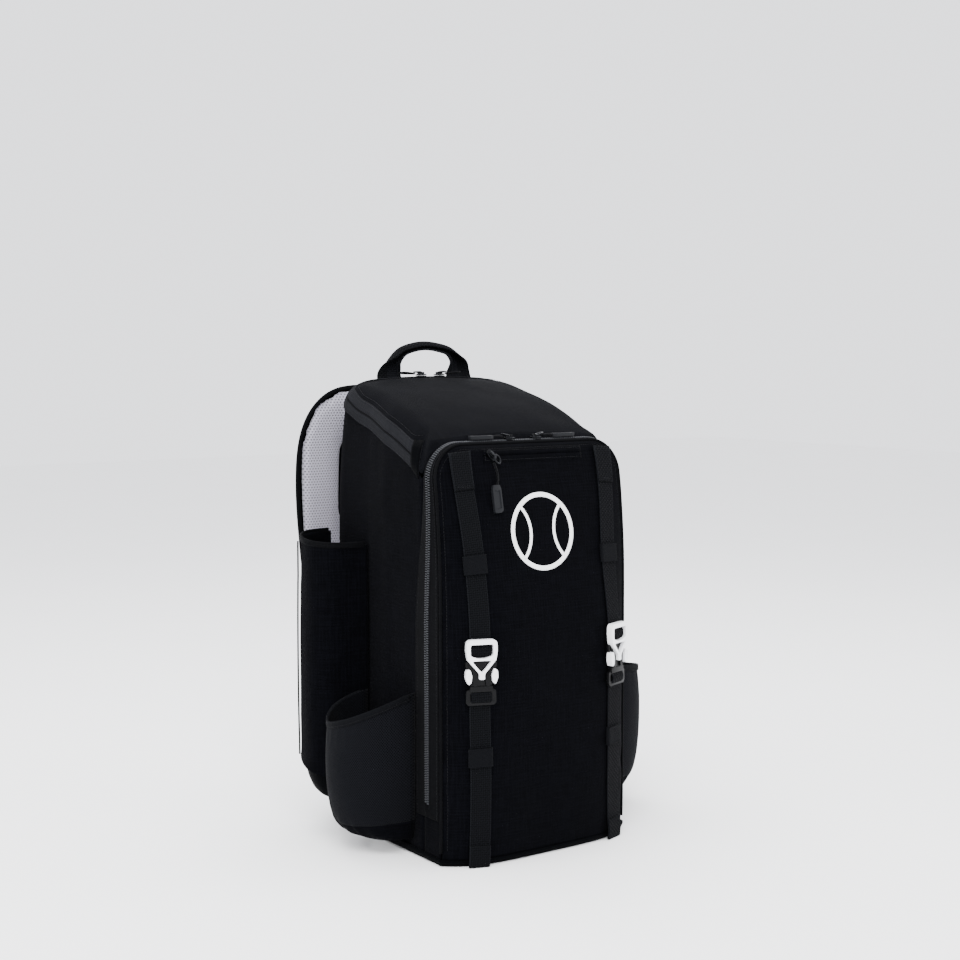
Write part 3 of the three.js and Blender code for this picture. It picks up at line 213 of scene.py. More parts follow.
class BackpackLook(bpy.types.PropertyGroup):
    """Colours and weaves of the bag."""

    cloth: colour_property("Cloth", "Body cloth", (0.0009, 0.00095, 0.0014))
    # The lid's colour is lighter than the body cloth's, partly for its smoother cloth and partly as painted
    # light from above.
    lid: colour_property("Lid cloth", "Lid cloth", (0.0016, 0.0017, 0.0023))
    base: colour_property("Base cloth", "Coated base", (0.0006, 0.0007, 0.0010))
    net: colour_property("Pocket net", "Pocket net", (0.0017, 0.0018, 0.0023))
    tape: colour_property("Tape", "Zip tape and binding", (0.0062, 0.0064, 0.0076))
    coil: colour_property("Coil", "Zip teeth", (0.026, 0.027, 0.030))
    webbing: colour_property("Webbing", "Webbing", (0.0016, 0.0017, 0.0021))
    air_mesh: colour_property("Air mesh", "Padding against the back", (0.27, 0.26, 0.31))
    white: colour_property("White plastic", "Buckle frames", (0.80, 0.80, 0.82))
    metal: colour_property("Sliders", "Zip sliders", (0.012, 0.0125, 0.014))
    grip: colour_property("Grips", "Zip pull grips", (0.006, 0.0064, 0.0078))
    thread: colour_property("Thread", "Pale thread of the side bindings", (0.55, 0.55, 0.58))
    weave: length_property("Weave", "Spacing of the cloth's threads", 0.00075)


def sizes():
    return bpy.context.scene.backpack_sizes


def look():
    return bpy.context.scene.backpack_look


class Ring:
    """Closed outline of straight edges and round corners with outward directions."""

    def __init__(self, corners, spacing):
        xs, ys, nx, ny = [], [], [], []
        count = len(corners)
        arcs = []
        for index, (x, y, radius) in enumerate(corners):
            at = np.array([x, y])
            arriving = unit(at - np.array(corners[index - 1][:2]))
            leaving = unit(np.array(corners[(index + 1) % count][:2]) - at)
            turn = math.atan2(arriving[0] * leaving[1] - arriving[1] * leaving[0], arriving @ leaving)
            signed = radius * (1 if turn > 0 else -1)
            start = at - arriving * signed * math.tan(turn / 2)
            middle = start + np.array([-arriving[1], arriving[0]]) * signed
            heading = math.atan2(arriving[1], arriving[0]) - math.pi / 2
            steps = max(1, int(round(abs(turn) * radius / spacing)) + (2 if abs(turn) > 1 else 0))
            angles = heading + turn * np.linspace(0, 1, steps + 1)
            normal = np.stack([np.cos(angles), np.sin(angles)], axis=1)
            arcs.append((middle + signed * normal, normal))
        for index, (points, normal) in enumerate(arcs):
            following = arcs[(index + 1) % count][0][0]
            end = points[-1]
            steps = max(1, int(round(np.linalg.norm(following - end) / spacing)))
            shares = np.linspace(0, 1, steps + 1)[1:-1, None]
            between = end + (following - end) * shares
            xs += list(points[:, 0]) + list(between[:, 0])
            ys += list(points[:, 1]) + list(between[:, 1])
            nx += list(normal[:, 0]) + [normal[-1, 0]] * len(between)
            ny += list(normal[:, 1]) + [normal[-1, 1]] * len(between)
        self.x, self.y, self.nx, self.ny = (np.array(v) for v in (xs, ys, nx, ny))

    def take(self, order):
        part = object.__new__(Ring)
        part.x, part.y, part.nx, part.ny = (v[order] for v in (self.x, self.y, self.nx, self.ny))
        return part

    def closed(self):
        return self.take(np.r_[0:len(self.x), 0])

    def standing(self, depth):
        """Points of the outline stood upright, at a depth to the front."""
        return np.stack([self.x, -depth, self.y], axis=-1)

    def standing_outward(self):
        return np.stack([self.nx, np.zeros_like(self.x), self.ny], axis=-1)


def main_ring(spacing=4 * MM):
    s = sizes()
    half_front, half_back = s.front_width / 2, s.back_width / 2
    return Ring([
        (half_front, -s.front_wall, FRONT_CORNER),
        (half_front, 0, BACK_CORNER),
        (half_back, SIDE_STEP, BACK_CORNER),
        (half_back, s.back_wall, BACK_CORNER),
        (-half_back, s.back_wall, BACK_CORNER),
        (-half_back, SIDE_STEP, BACK_CORNER),
        (-half_front, 0, BACK_CORNER),
        (-half_front, -s.front_wall, FRONT_CORNER),
    ], spacing)


def panel_ring(spacing):
    s = sizes()
    half = s.front_width / 2
    return Ring([
        (half, WALL_FOOT, 6 * MM),
        (half, s.panel_height, s.panel_corner),
        (-half, s.panel_height, s.panel_corner),
        (-half, WALL_FOOT, 6 * MM),
    ], spacing)


def back_depth(height):
    s = sizes()
    return s.back_wall - s.back_lean * BACK_LEAN(np.asarray(height) / s.lid_back)


def edge_depth(height):
    s = sizes()
    return s.front_wall + s.panel_edge - s.edge_lean * EDGE_LEAN(np.asarray(height) / s.panel_height)


def face_depth(x, height):
    s = sizes()
    middle = s.front_wall + s.panel_edge + s.panel_bulge
    middle = middle - s.panel_lean * MIDDLE_LEAN(np.asarray(height) / s.panel_height)
    share = np.minimum(1, np.abs(x) / (s.front_width / 2)) ** 4.5
    return mix(middle, edge_depth(height), share)


def panel_arch(x):
    s = sizes()
    over = np.maximum(0, np.abs(x) - (s.front_width / 2 - s.panel_corner))
    return s.panel_height - s.panel_corner + np.sqrt(np.maximum(0, s.panel_corner ** 2 - over ** 2))


def lid_top(x, y):
    s = sizes()
    back = s.back_wall - s.back_lean
    share = np.clip((y + s.front_wall) / (back + s.front_wall), 0, 1)
    return mix(s.lid_front, s.lid_back, LID_RISE(share)) - LID_CROWN * (x / (s.front_width / 2)) ** 2


def shoulder_base(ring):
    s = sizes()
    side = lid_top(ring.x, ring.y) - s.shoulder
    side = side - CORNER_DROP * (1 - smooth(-s.front_wall, -s.front_wall + s.shoulder, ring.y))
    return mix(side, panel_arch(ring.x) - 3 * MM, np.clip(-ring.ny, 0, 1) ** 2)


def seam_share(ring):
    s = sizes()
    facing = np.clip(ring.ny, 0, 1) ** 2
    corner = smooth(s.back_wall - 68 * MM, s.back_wall, ring.y) * (0.35 + 0.65 * facing)
    return mix(SEAM_SIDE, SEAM_BACK, corner)


def hull(ring, level):
    """Points of the body and lid: level 0 to 1 climbs the wall, 1 to 2 rounds the shoulder,
    2 to 3 runs over the lid to its middle."""
    s = sizes()
    level = np.asarray(level, float) * np.ones_like(ring.x)
    x, y = ring.x, ring.y

    def leaned(height):
        return np.where(y > 0, y * back_depth(height) / s.back_wall, y)

    base = shoulder_base(ring)
    wall = mix(WALL_FOOT, base, np.minimum(level, 1))
    rounded = mix(SHOULDER_ROUND, FRONT_ROUND, np.clip(-ring.ny, 0, 1) ** 2)
    turn = (np.clip(level, 1, 2) - 1) * math.pi / 2
    shrink = 1 - rounded * (1 - np.cos(turn)) / (s.front_width / 2)
    scale = shrink * (1 - np.clip(level - 2, 0, 1))
    middle = (s.back_wall - s.back_lean - s.front_wall) / 2
    top_y = middle + (leaned(base) - middle) * scale
    top = lid_top(x * scale, top_y)
    upper = np.stack([x * scale, top_y, mix(base, top, np.sin(turn))], axis=-1)
    lower = np.stack([x, leaned(wall), wall], axis=-1)
    return np.where((level <= 1)[..., None], lower, upper)


# Making meshes

def run_length(line):
    """Distance from the start of a line to each of its points."""
    return np.r_[0, np.cumsum(np.linalg.norm(np.diff(line, axis=0), axis=1))]


def points_at(marks, distance, line):
    """Points of a line at distances from its start."""
    return np.stack([np.interp(marks, distance, line[:, axis]) for axis in range(3)], axis=-1)


def grid_normals(grid):
    down = np.gradient(grid, axis=0)
    across = np.gradient(grid, axis=1)
    if np.allclose(grid[:, 0], grid[:, -1], atol=1e-6):
        wrapped = (grid[:, 1] - grid[:, -2]) / 2
        across[:, 0] = wrapped
        across[:, -1] = wrapped
    return unit(np.cross(across, down))


def measured(grid):
    """UVs in metres: along the first row and up each column."""
    u = run_length(grid[len(grid) // 2])
    v = np.zeros(grid.shape[:2])
    v[1:] = np.cumsum(np.linalg.norm(np.diff(grid, axis=0), axis=2), axis=0)
    return np.stack([np.broadcast_to(u, v.shape), v], axis=-1)


def deselect():
    if bpy.context.object and bpy.context.object.mode != "OBJECT":
        bpy.ops.object.mode_set(mode="OBJECT")
    bpy.ops.object.select_all(action="DESELECT")


def activate(piece):
    deselect()
    piece.select_set(True)
    bpy.context.view_layer.objects.active = piece


def named(piece, name):
    piece.name = name
    piece.data.name = name
    return piece


def apply_modifiers(piece):
    activate(piece)
    for modifier in list(piece.modifiers):
        bpy.ops.object.modifier_apply(modifier=modifier.name)


def places(piece):
    return np.array([vertex.co[:] for vertex in piece.data.vertices])


def write_uv(mesh, uv):
    """Gives a mesh its UVs from one UV a point."""
    layer = mesh.uv_layers.new(name="measured")
    corner = np.zeros(len(mesh.loops), dtype=np.int32)
    mesh.loops.foreach_get("vertex_index", corner)
    layer.data.foreach_set("uv", np.asarray(uv, float)[corner].ravel())


def mesh_piece(name, points, faces, uv=None, merge=True):
    """Object from points and faces, with one UV a point, its doubles merged."""
    mesh = bpy.data.meshes.new(name)
    mesh.from_pydata([tuple(p) for p in points], [], [tuple(f) for f in faces])
    if uv is not None:
        write_uv(mesh, uv)
    piece = bpy.data.objects.new(name, mesh)
    bpy.context.scene.collection.objects.link(piece)
    if merge:
        shape = bmesh.new()
        shape.from_mesh(mesh)
        bmesh.ops.remove_doubles(shape, verts=shape.verts, dist=1e-6)
        bmesh.ops.dissolve_degenerate(shape, edges=shape.edges, dist=1e-7)
        shape.to_mesh(mesh)
        shape.free()
    return piece


def grid_faces(rows, columns, start=0):
    row, column = np.meshgrid(np.arange(rows - 1), np.arange(columns - 1), indexing="ij")
    a = (start + row * columns + column).ravel()
    return np.stack([a, a + 1, a + columns + 1, a + columns], axis=1)


def sheet_piece(name, grid, inside=None, wall=0.0, uv=None, roof=False, floor=False):
    """Cloth over a grid of points, facing away from the point inside, with a wall inward."""
    rows, columns = grid.shape[:2]
    points = grid.reshape(-1, 3)
    uv = (measured(grid) if uv is None else uv).reshape(-1, 2)
    faces = [tuple(face) for face in grid_faces(rows, columns)]
    for wanted, row in ((floor, 0), (roof, rows - 1)):
        if wanted:
            ends = points[row * columns:(row + 1) * columns]
            points = np.vstack([points, ends.mean(axis=0)])
            uv = np.vstack([uv, uv[row * columns:(row + 1) * columns].mean(axis=0)])
            hub = len(points) - 1
            for column in range(columns - 1):
                a, b = row * columns + column, row * columns + column + 1
                faces.append((hub, a, b) if row else (hub, b, a))
    if inside is not None:
        quads = np.array([face[:3] for face in faces])
        corners = points[quads]
        normal = np.cross(corners[:, 1] - corners[:, 0], corners[:, 2] - corners[:, 0])
        if ((corners.mean(axis=1) - np.asarray(inside)) * normal).sum() < 0:
            faces = [face[::-1] for face in faces]
    piece = mesh_piece(name, points, faces, uv)
    if wall:
        solid = piece.modifiers.new("wall", "SOLIDIFY")
        solid.thickness = wall
        solid.offset = -1
        solid.use_quality_normals = True
        apply_modifiers(piece)
    return piece


def frames_along(line, facing):
    along = unit(np.gradient(line, axis=0))
    facing = np.broadcast_to(np.asarray(facing, float), line.shape)
    across = unit(np.cross(facing, along))
    return across, unit(np.cross(along, across))


def rounded_section(width, thickness, low=0.0, steps=3):
    """Flat section with round edges, standing on the height low."""
    radius = thickness / 2
    angles = np.linspace(-math.pi / 2, math.pi / 2, steps * 2 + 1)
    right = np.stack([width / 2 - radius + radius * np.cos(angles),
                      low + radius + radius * np.sin(angles)], axis=1)
    inner = np.linspace(1, -1, 9)[1:-1, None] * np.array([width / 2 - radius, 0])
    top = inner + np.array([0, low + thickness])
    left = right[::-1] * np.array([-1, 1])
    bottom = -inner + np.array([0, low])
    return np.vstack([right, top, left, bottom])


def round_section(radius, steps=10, low=0.0):
    angles = np.linspace(0, 2 * math.pi, steps, endpoint=False)
    return np.stack([radius * np.cos(angles), low + radius + radius * np.sin(angles)], axis=1)


def swept(line, facing, section, wide=1.0, thick=1.0):
    """Grid of a closed section carried along a line, and its UVs in metres."""
    line = np.asarray(line, float)
    across, out = frames_along(line, facing)
    section = np.vstack([section, section[:1]])
    u = section[:, 0] * (np.ones(len(line)) * wide)[:, None]
    height = section[:, 1] * (np.ones(len(line)) * thick)[:, None]
    grid = line[:, None] + across[:, None] * u[..., None] + out[:, None] * height[..., None]
    v = run_length(line)
    return grid, np.stack([u, np.broadcast_to(v[:, None], u.shape)], axis=-1)


def band_piece(name, line, facing, section, wide=1.0, thick=1.0):
    """Solid strap, cord or welt along a line."""
    grid, uv = swept(line, facing, section, wide, thick)
    rows, columns = grid.shape[:2]
    points = grid.reshape(-1, 3)
    faces = [tuple(face) for face in grid_faces(rows, columns)]
    faces.append(tuple(range(columns - 1))[::-1])
    faces.append(tuple((rows - 1) * columns + column for column in range(columns - 1)))
    piece = mesh_piece(name, points, faces, uv.reshape(-1, 2))
    face_outward(piece)
    return piece


def face_outward(piece):
    shape = bmesh.new()
    shape.from_mesh(piece.data)
    bmesh.ops.recalc_face_normals(shape, faces=shape.faces)
    shape.to_mesh(piece.data)
    shape.free()


def repeated(name, pattern, frames):
    """One piece from copies of a small mesh, each set in a frame (place, x, y, z)."""
    points = places(pattern)
    faces = [tuple(face.vertices) for face in pattern.data.polygons]
    count = len(points)
    all_points, all_faces = [], []
    for index, (place, x, y, z) in enumerate(frames):
        all_points.append(place + points @ np.array([x, y, z]))
        all_faces += [tuple(index * count + corner for corner in face) for face in faces]
    bpy.data.objects.remove(pattern)
    return mesh_piece(name, np.vstack(all_points), all_faces, merge=False)


def dress(piece, finish, replaces=(), sharp=None):
    """Gives a piece its material and its body."""
    piece.data.materials.clear()
    piece.data.materials.append(FINISHES[finish])
    activate(piece)
    if sharp is None:
        bpy.ops.object.shade_smooth()
    else:
        bpy.ops.object.shade_smooth_by_angle(angle=math.radians(sharp))
    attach(piece, "root")
    if replaces:
        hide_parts(*replaces)
    return piece


# Materials

class Value:
    """A number that varies over a surface; expressions on it add Math nodes."""

    def __init__(self, finish, socket):
        self.finish = finish
        self.socket = socket

    def _with(self, operation, *values):
        node = self.finish.node("ShaderNodeMath", {"operation": operation})
        for index, value in enumerate(values):
            self.finish.feed(node.inputs[index], value)
        return Value(self.finish, node.outputs[0])

    def __add__(self, other):
        return self._with("ADD", self, other)

    def __sub__(self, other):
        return self._with("SUBTRACT", self, other)

    def __rsub__(self, other):
        return self._with("SUBTRACT", other, self)

    def __mul__(self, other):
        return self._with("MULTIPLY", self, other)

    def __truediv__(self, other):
        return self._with("DIVIDE", self, other)

    def __pow__(self, other):
        return self._with("POWER", self, other)

    __radd__ = __add__
    __rmul__ = __mul__

    def wave(self):
        return self._with("SINE", self)

    def size(self):
        return self._with("ABSOLUTE", self)

    def part(self):
        return self._with("FRACT", self)

    def whole(self):
        return self._with("FLOOR", self)

    def most(self, other):
        return self._with("MAXIMUM", self, other)

    def between(self, low, high):
        node = self.finish.node("ShaderNodeMapRange", {"interpolation_type": "SMOOTHSTEP"})
        self.finish.feed(node.inputs["Value"], self)
        node.inputs["From Min"].default_value = low
        node.inputs["From Max"].default_value = high
        return Value(self.finish, node.outputs["Result"])


class Finish:
    """A material with one surface shader."""

    def __init__(self, name, roughness=0.8, metallic=0.0, **sockets):
        self.material = bpy.data.materials.new(name)
        self.material.use_nodes = True
        self.tree = self.material.node_tree
        self.tree.nodes.clear()
        self.shader = self.node("ShaderNodeBsdfPrincipled")
        output = self.node("ShaderNodeOutputMaterial")
        self.tree.links.new(self.shader.outputs[0], output.inputs[0])
        self.shader.inputs["Roughness"].default_value = roughness
        self.shader.inputs["Metallic"].default_value = metallic
        for socket, value in sockets.items():
            self.shader.inputs[socket.replace("_", " ")].default_value = value
        FINISHES[name] = self.material

    def node(self, kind, settings=(), **values):
        made = self.tree.nodes.new(kind)
        for key, value in dict(settings).items():
            setattr(made, key, value)
        for key, value in values.items():
            self.feed(made.inputs[key.replace("_", " ")], value)
        return made

    def feed(self, socket, value):
        if isinstance(value, Value):
            self.tree.links.new(value.socket, socket)
        elif isinstance(value, bpy.types.NodeSocket):
            self.tree.links.new(value, socket)
        else:
            socket.default_value = value

    def cloth_place(self):
        """The two measured directions on the cloth, in metres."""
        place = self.node("ShaderNodeTexCoord").outputs["UV"]
        parts = self.node("ShaderNodeSeparateXYZ", Vector=place)
        return place, Value(self, parts.outputs[0]), Value(self, parts.outputs[1])

    def solid_place(self):
        place = self.node("ShaderNodeTexCoord").outputs["Object"]
        parts = self.node("ShaderNodeSeparateXYZ", Vector=place)
        return place, [Value(self, parts.outputs[index]) for index in range(3)]

    def noise(self, place, scale, detail=2.0, roughness=0.5, stretch=None):
        if stretch:
            node = self.node("ShaderNodeMapping", Vector=place)
            node.inputs["Scale"].default_value = stretch
            place = node.outputs[0]
        node = self.node("ShaderNodeTexNoise", Vector=place, Scale=scale, Detail=detail, Roughness=roughness)
        return Value(self, node.outputs["Fac"])

    def blend(self, share, first, second):
        node = self.node("ShaderNodeMix", {"data_type": "RGBA"})
        self.feed(node.inputs["Factor"], share)
        self.feed(node.inputs["A"], colour(first))
        self.feed(node.inputs["B"], colour(second))
        return node.outputs["Result"]

    def paint(self, value):
        self.feed(self.shader.inputs["Base Color"], colour(value))

    def rough(self, value):
        self.feed(self.shader.inputs["Roughness"], value)

    def relief(self, height, distance):
        node = self.node("ShaderNodeBump", Height=height)
        node.inputs["Strength"].default_value = 1.0
        node.inputs["Distance"].default_value = distance
        self.feed(self.shader.inputs["Normal"], node.outputs[0])


FINISHES = {}


def colour(value):
    if isinstance(value, bpy.types.NodeSocket):
        return value
    return tuple(value)[:3] + (1.0,)


def shade(value, share):
    return tuple(channel * share for channel in value)


def woven(name, tone, pitch, roughness=0.88, slub=0.45, relief=0.22, sheen=0.006, ribs=0.0):
    """Plain woven cloth: crossing threads, uneven yarns and a faint grid of heavier threads."""
    finish = Finish(name, roughness, Sheen_Weight=sheen, Sheen_Roughness=0.45, Specular_IOR_Level=0.012)
    place, u, v = finish.cloth_place()
    turn = 2 * math.pi / pitch
    over = (u * turn).wave() * (v * turn).wave()
    threads = over * 0.5 + 0.5
    across = finish.noise(place, 1.0, 3, 0.6, (36, 560, 1))
    upward = finish.noise(place, 1.0, 3, 0.6, (560, 36, 1))
    uneven = across.between(0.4, 0.62) * 0.5 + upward.between(0.4, 0.62) * 0.5
    heavy = ((u / 0.0034).part() - 0.5).size().between(0.3, 0.5)
    heavy = heavy.most(((v / 0.0034).part() - 0.5).size().between(0.3, 0.5))
    worn = finish.noise(place, 9.0, 4, 0.6)
    tint = uneven * slub + threads * 0.15 + worn * 0.3 + heavy * slub * 0.4
    finish.paint(finish.blend(tint, shade(tone, 0.3), shade(tone, 2.3)))
    finish.rough(uneven * 0.1 + (roughness - 0.06))
    height = threads * 0.5 + uneven * 0.7 + heavy * 0.3
    if ribs:
        height = height + (u * (2 * math.pi / ribs)).wave() * 0.8
    finish.relief(height, relief * MM)
    return finish


def basket(name, tone, pitch, relief, half=0.0):
    """Webbing: a basket weave, with a paler selvedge where half its width is given."""
    finish = Finish(name, 0.72, Sheen_Weight=0.008, Sheen_Roughness=0.4, Specular_IOR_Level=0.018)
    place, u, v = finish.cloth_place()
    cell_u = (u / pitch).whole()
    cell_v = (v / pitch).whole()
    odd = ((cell_u + cell_v) * 0.5).part() * 2
    inner_u = ((u / pitch).part() - 0.5).size() * 2
    inner_v = ((v / pitch).part() - 0.5).size() * 2
    warp = (1 - inner_u * inner_u) * odd + (1 - inner_v * inner_v) * (1 - odd)
    fine_u = ((u / (pitch / 4)).part() - 0.5).size()
    fine_v = ((v / (pitch / 4)).part() - 0.5).size()
    strands = fine_u * odd + fine_v * (1 - odd)
    uneven = finish.noise(place, 900, 2)
    tint = warp * 0.55 + strands * 0.25 + uneven * 0.3
    if half:
        tint = tint + (u.size() / half).between(0.88, 0.95) * 0.7
    finish.paint(finish.blend(tint, shade(tone, 0.1), shade(tone, 2.6)))
    finish.rough(uneven * 0.12 + 0.66)
    finish.relief(warp + strands * 0.3, relief * MM)
    return finish


def net(name, tone, pitch):
    """Pocket net: a diamond grid of yarns with dark holes between them."""
    finish = Finish(name, 0.85, Sheen_Weight=0.012, Sheen_Roughness=0.4, Specular_IOR_Level=0.015)
    place, u, v = finish.cloth_place()
    turn = math.pi / pitch
    first = ((u + v * 0.8) * turn).wave()
    second = ((u - v * 0.8) * turn).wave()
    yarn = (first * first).most(second * second)
    fibres = finish.noise(place, 1400, 2)
    drift = finish.noise(place, 14, 3)
    strength = yarn.between(0.25, 0.95)
    tint = strength * 0.75 + fibres * 0.2 + drift * 0.25
    finish.paint(finish.blend(tint, shade(tone, 0.08), shade(tone, 2.6)))
    finish.rough(fibres * 0.15 + 0.74)
    finish.relief(strength + fibres * 0.15, 0.4 * MM)
    return finish


def spacer(name, tone, pitch):
    """Air mesh: rows of small round holes in a soft knit."""
    finish = Finish(name, 0.92, Sheen_Weight=0.4, Sheen_Roughness=0.5)
    place, parts = finish.solid_place()
    x, _, z = parts
    row = (z / (pitch * 0.87)).whole()
    shift = (row * 0.5).part()
    hole_x = ((x / pitch + shift).part() - 0.5)
    hole_z = ((z / (pitch * 0.87)).part() - 0.5)
    away = (hole_x * hole_x + hole_z * hole_z) ** 0.5
    solid = away.between(0.2, 0.36)
    fibres = finish.noise(place, 1500, 2)
    soil = finish.noise(place, 12, 3)
    tint = solid * 0.75 + fibres * 0.2 + soil * 0.1
    finish.paint(finish.blend(tint, shade(tone, 0.16), tone))
    finish.rough(fibres * 0.1 + 0.85)
    finish.relief(solid + fibres * 0.25, 0.5 * MM)
    return finish


def moulded(name, tone, roughness, grain=0.03, coat=0.0):
    """Moulded plastic or rubber: fine grain, soft swirls and paler sharp outer edges."""
    shine = 0.1 if sum(tone) < 0.6 else 0.5
    finish = Finish(name, roughness, Coat_Weight=coat, Specular_IOR_Level=shine)
    place = finish.solid_place()[0]
    fine = finish.noise(place, 2600, 2)
    broad = finish.noise(place, 55, 4)
    # Paler where the mesh is sharply convex, read from its pointiness.
    edge = Value(finish, finish.node("ShaderNodeNewGeometry").outputs["Pointiness"]).between(0.5, 0.62)
    tint = broad * 0.5 + fine * 0.3 + edge * 0.5
    finish.paint(finish.blend(tint, shade(tone, 0.82), shade(tone, 1.12)))
    finish.rough(broad * 0.14 + fine * 0.08 + (roughness - 0.1))
    finish.relief(fine, grain * MM)
    return finish


def cast_metal(name, tone):
    """Plated cast metal: fine scratches and uneven broad tone."""
    finish = Finish(name, 0.42, 1.0)
    place = finish.solid_place()[0]
    scratches = finish.noise(place, 1.0, 3, 0.6, (300, 2600, 2600))
    broad = finish.noise(place, 180, 3)
    tint = scratches * 0.4 + broad * 0.5
    finish.paint(finish.blend(tint, shade(tone, 0.45), shade(tone, 1.5)))
    finish.rough(broad * 0.25 + scratches * 0.12 + 0.15)
    finish.relief(scratches, 0.02 * MM)
    return finish


def printed(name, tone):
    """Screen print on cloth: the weave shows through a thin rubbery film."""
    finish = Finish(name, 0.55)
    place, parts = finish.solid_place()
    x, _, z = parts
    turn = 2 * math.pi / 0.0009
    threads = (x * turn).wave() * (z * turn).wave() * 0.5 + 0.5
    thin = finish.noise(place, 420, 3)
    tint = thin * 0.5 + threads * 0.4
    finish.paint(finish.blend(tint, shade(tone, 0.86), tone))
    finish.rough(thin * 0.15 + 0.45)
    finish.relief(threads + thin, 0.06 * MM)
    return finish


def twisted(name, tone, pitch=0.0022, roughness=0.7):
    """Braided cord or thread."""
    finish = Finish(name, roughness, Sheen_Weight=0.03, Sheen_Roughness=0.4, Specular_IOR_Level=0.03)
    place, u, v = finish.cloth_place()
    turn = 2 * math.pi / pitch
    plait = ((v + u * 2) * turn).wave() * ((v - u * 2) * turn).wave()
    fibres = finish.noise(place, 1200, 2)
    tint = plait * 0.4 + fibres * 0.4 + 0.2
    finish.paint(finish.blend(tint, shade(tone, 0.5), shade(tone, 1.6)))
    finish.rough(fibres * 0.12 + (roughness - 0.05))
    finish.relief(plait + fibres * 0.3, 0.2 * MM)
    return finish


def build_finishes():
    colours = look()
    woven("body_cloth", colours.cloth, colours.weave)
    # Lid cloth: a lighter copy of the body cloth, partly its own smoother weave and partly painted top light.
    woven("lid_cloth", colours.lid, colours.weave * 0.8, roughness=0.8, slub=0.35, relief=0.12, sheen=0.008)
    woven("coated_cloth", colours.base, colours.weave, roughness=0.7, slub=0.2, relief=0.15)
    woven("smooth_tape", colours.tape, 0.0009, roughness=0.62, slub=0.25, relief=0.12, ribs=0.0018)
    woven("edge_tape", shade(colours.tape, 0.3), 0.0009, roughness=0.66, slub=0.25, relief=0.12)
    basket("webbing", colours.webbing, 0.0024, relief=0.8, half=sizes().webbing / 2)
    basket("elastic", shade(colours.webbing, 1.15), 0.0013, relief=0.3)
    net("pocket_net", colours.net, 0.0027)
    spacer("air_mesh", colours.air_mesh, 0.0036)
    moulded("white_plastic", colours.white, 0.38, coat=0.15)
    moulded("black_plastic", (0.0010, 0.0010, 0.0013), 0.36)
    moulded("teeth_plastic", colours.coil, 0.38)
    moulded("rubber_grip", colours.grip, 0.5)
    cast_metal("slider_metal", colours.metal)
    printed("white_print", (0.86, 0.86, 0.87))
    twisted("cord", shade(colours.webbing, 1.6))
    twisted("dark_thread", shade(colours.tape, 1.3), 0.0009)
    twisted("pale_thread", colours.thread, 0.0009, 0.6)


# Stitches

def stitch_pattern():
    """One small thread loop, 1 unit long, to be copied along seams."""
    deselect()
    bpy.ops.mesh.primitive_cylinder_add(vertices=6, radius=0.5, depth=1.0, rotation=(0, math.pi / 2, 0))
    pattern = bpy.context.object
    bpy.ops.object.transform_apply(location=True, rotation=True, scale=True)
    for vertex in pattern.data.vertices:
        vertex.co.y *= 0.8
        vertex.co.z = vertex.co.z * 0.7 - 0.25 * (abs(vertex.co.x) > 0.4)
    return pattern


def stitches(name, lines, finish="dark_thread",
             pitch=3.4 * MM, length=2.5 * MM, thread=0.55 * MM):
    """Rows of stitches; each line is its points and its outward directions."""
    frames = []
    for line, out in lines:
        line = np.asarray(line, float)
        out = np.broadcast_to(np.asarray(out, float), line.shape)
        distance = run_length(line)
        marks = np.arange(pitch, distance[-1] - pitch * 0.6, pitch)
        at = points_at(marks, distance, line)
        ahead = points_at(marks + 0.5 * MM, distance, line)
        up = unit(points_at(marks, distance, out))
        along = unit(ahead - at)
        side = unit(np.cross(up, along))
        for index in range(len(marks)):
            frames.append((at[index], along[index] * length, side[index] * thread, up[index] * thread))
    piece = repeated(name, stitch_pattern(), frames)
    write_uv(piece.data, places(piece)[:, [0, 2]])
    face_outward(piece)
    return dress(piece, finish)


# Narrow goods

def trim_piece(name, line, facing, section, replaces=()):
    return dress(band_piece(name, line, facing, section), "edge_tape", replaces)


def cord_piece(name, line, facing, radius, steps, replaces):
    piece = band_piece(name, line, facing, round_section(radius, steps, -radius))
    return dress(piece, "cord", replaces)


def webbing_piece(name, line, facing, width, replaces=(), wide=1.0, thickness=WEBBING_THICKNESS):
    piece = band_piece(name, line, facing, rounded_section(width, thickness), wide)
    return dress(piece, "webbing", replaces)


# Cloth of the body

def body_point_normals(grid, outward_from=(0, 0.02, 0.2)):
    normal = grid_normals(grid)
    centre = np.asarray(outward_from)
    if ((grid - centre) * normal).sum() < 0:
        normal = -normal
    return normal


def body_relief(grid):
    """Soft hollows and puckers of the side and back walls."""
    s = sizes()
    y, z = grid[..., 1], grid[..., 2]
    calm = smooth(-s.front_wall + 14 * MM, -s.front_wall + 40 * MM, y)
    calm = calm * (1 - 0.8 * smooth(s.back_wall - 40 * MM, s.back_wall - 20 * MM, y))
    broad = lumps(grid * np.array([1, 1, 0.6]), 75 * MM, 3)
    fine = lumps(grid * np.array([1, 1, 0.5]), 26 * MM, 5)
    folds = lumps(grid * np.array([1, 1.6, 0.35]), 34 * MM, 8) * smooth(0.12, 0.02, z)
    return calm * (s.sag * (1.6 * broad + 0.55 * fine) + 1.4 * MM * folds) - 0.5 * MM * calm


def wall_rows():
    return np.r_[np.linspace(0, 0.94, 84), np.linspace(0.95, 1, 8)]


def build_body():
    ring = main_ring().closed()
    rows = [hull(ring, level) for level in wall_rows()]
    seam = seam_share(ring)
    for share in np.linspace(0.15, 1, 7):
        rows.append(hull(ring, 1 + (seam - 0.04) * share))
    grid = np.stack(rows)
    grid = grid + body_point_normals(grid) * body_relief(grid)[..., None]
    piece = sheet_piece("main_shell", grid, inside=(0, 0.02, 0.22), wall=2.4 * MM)
    dress(piece, "body_cloth", ["main_compartment"])


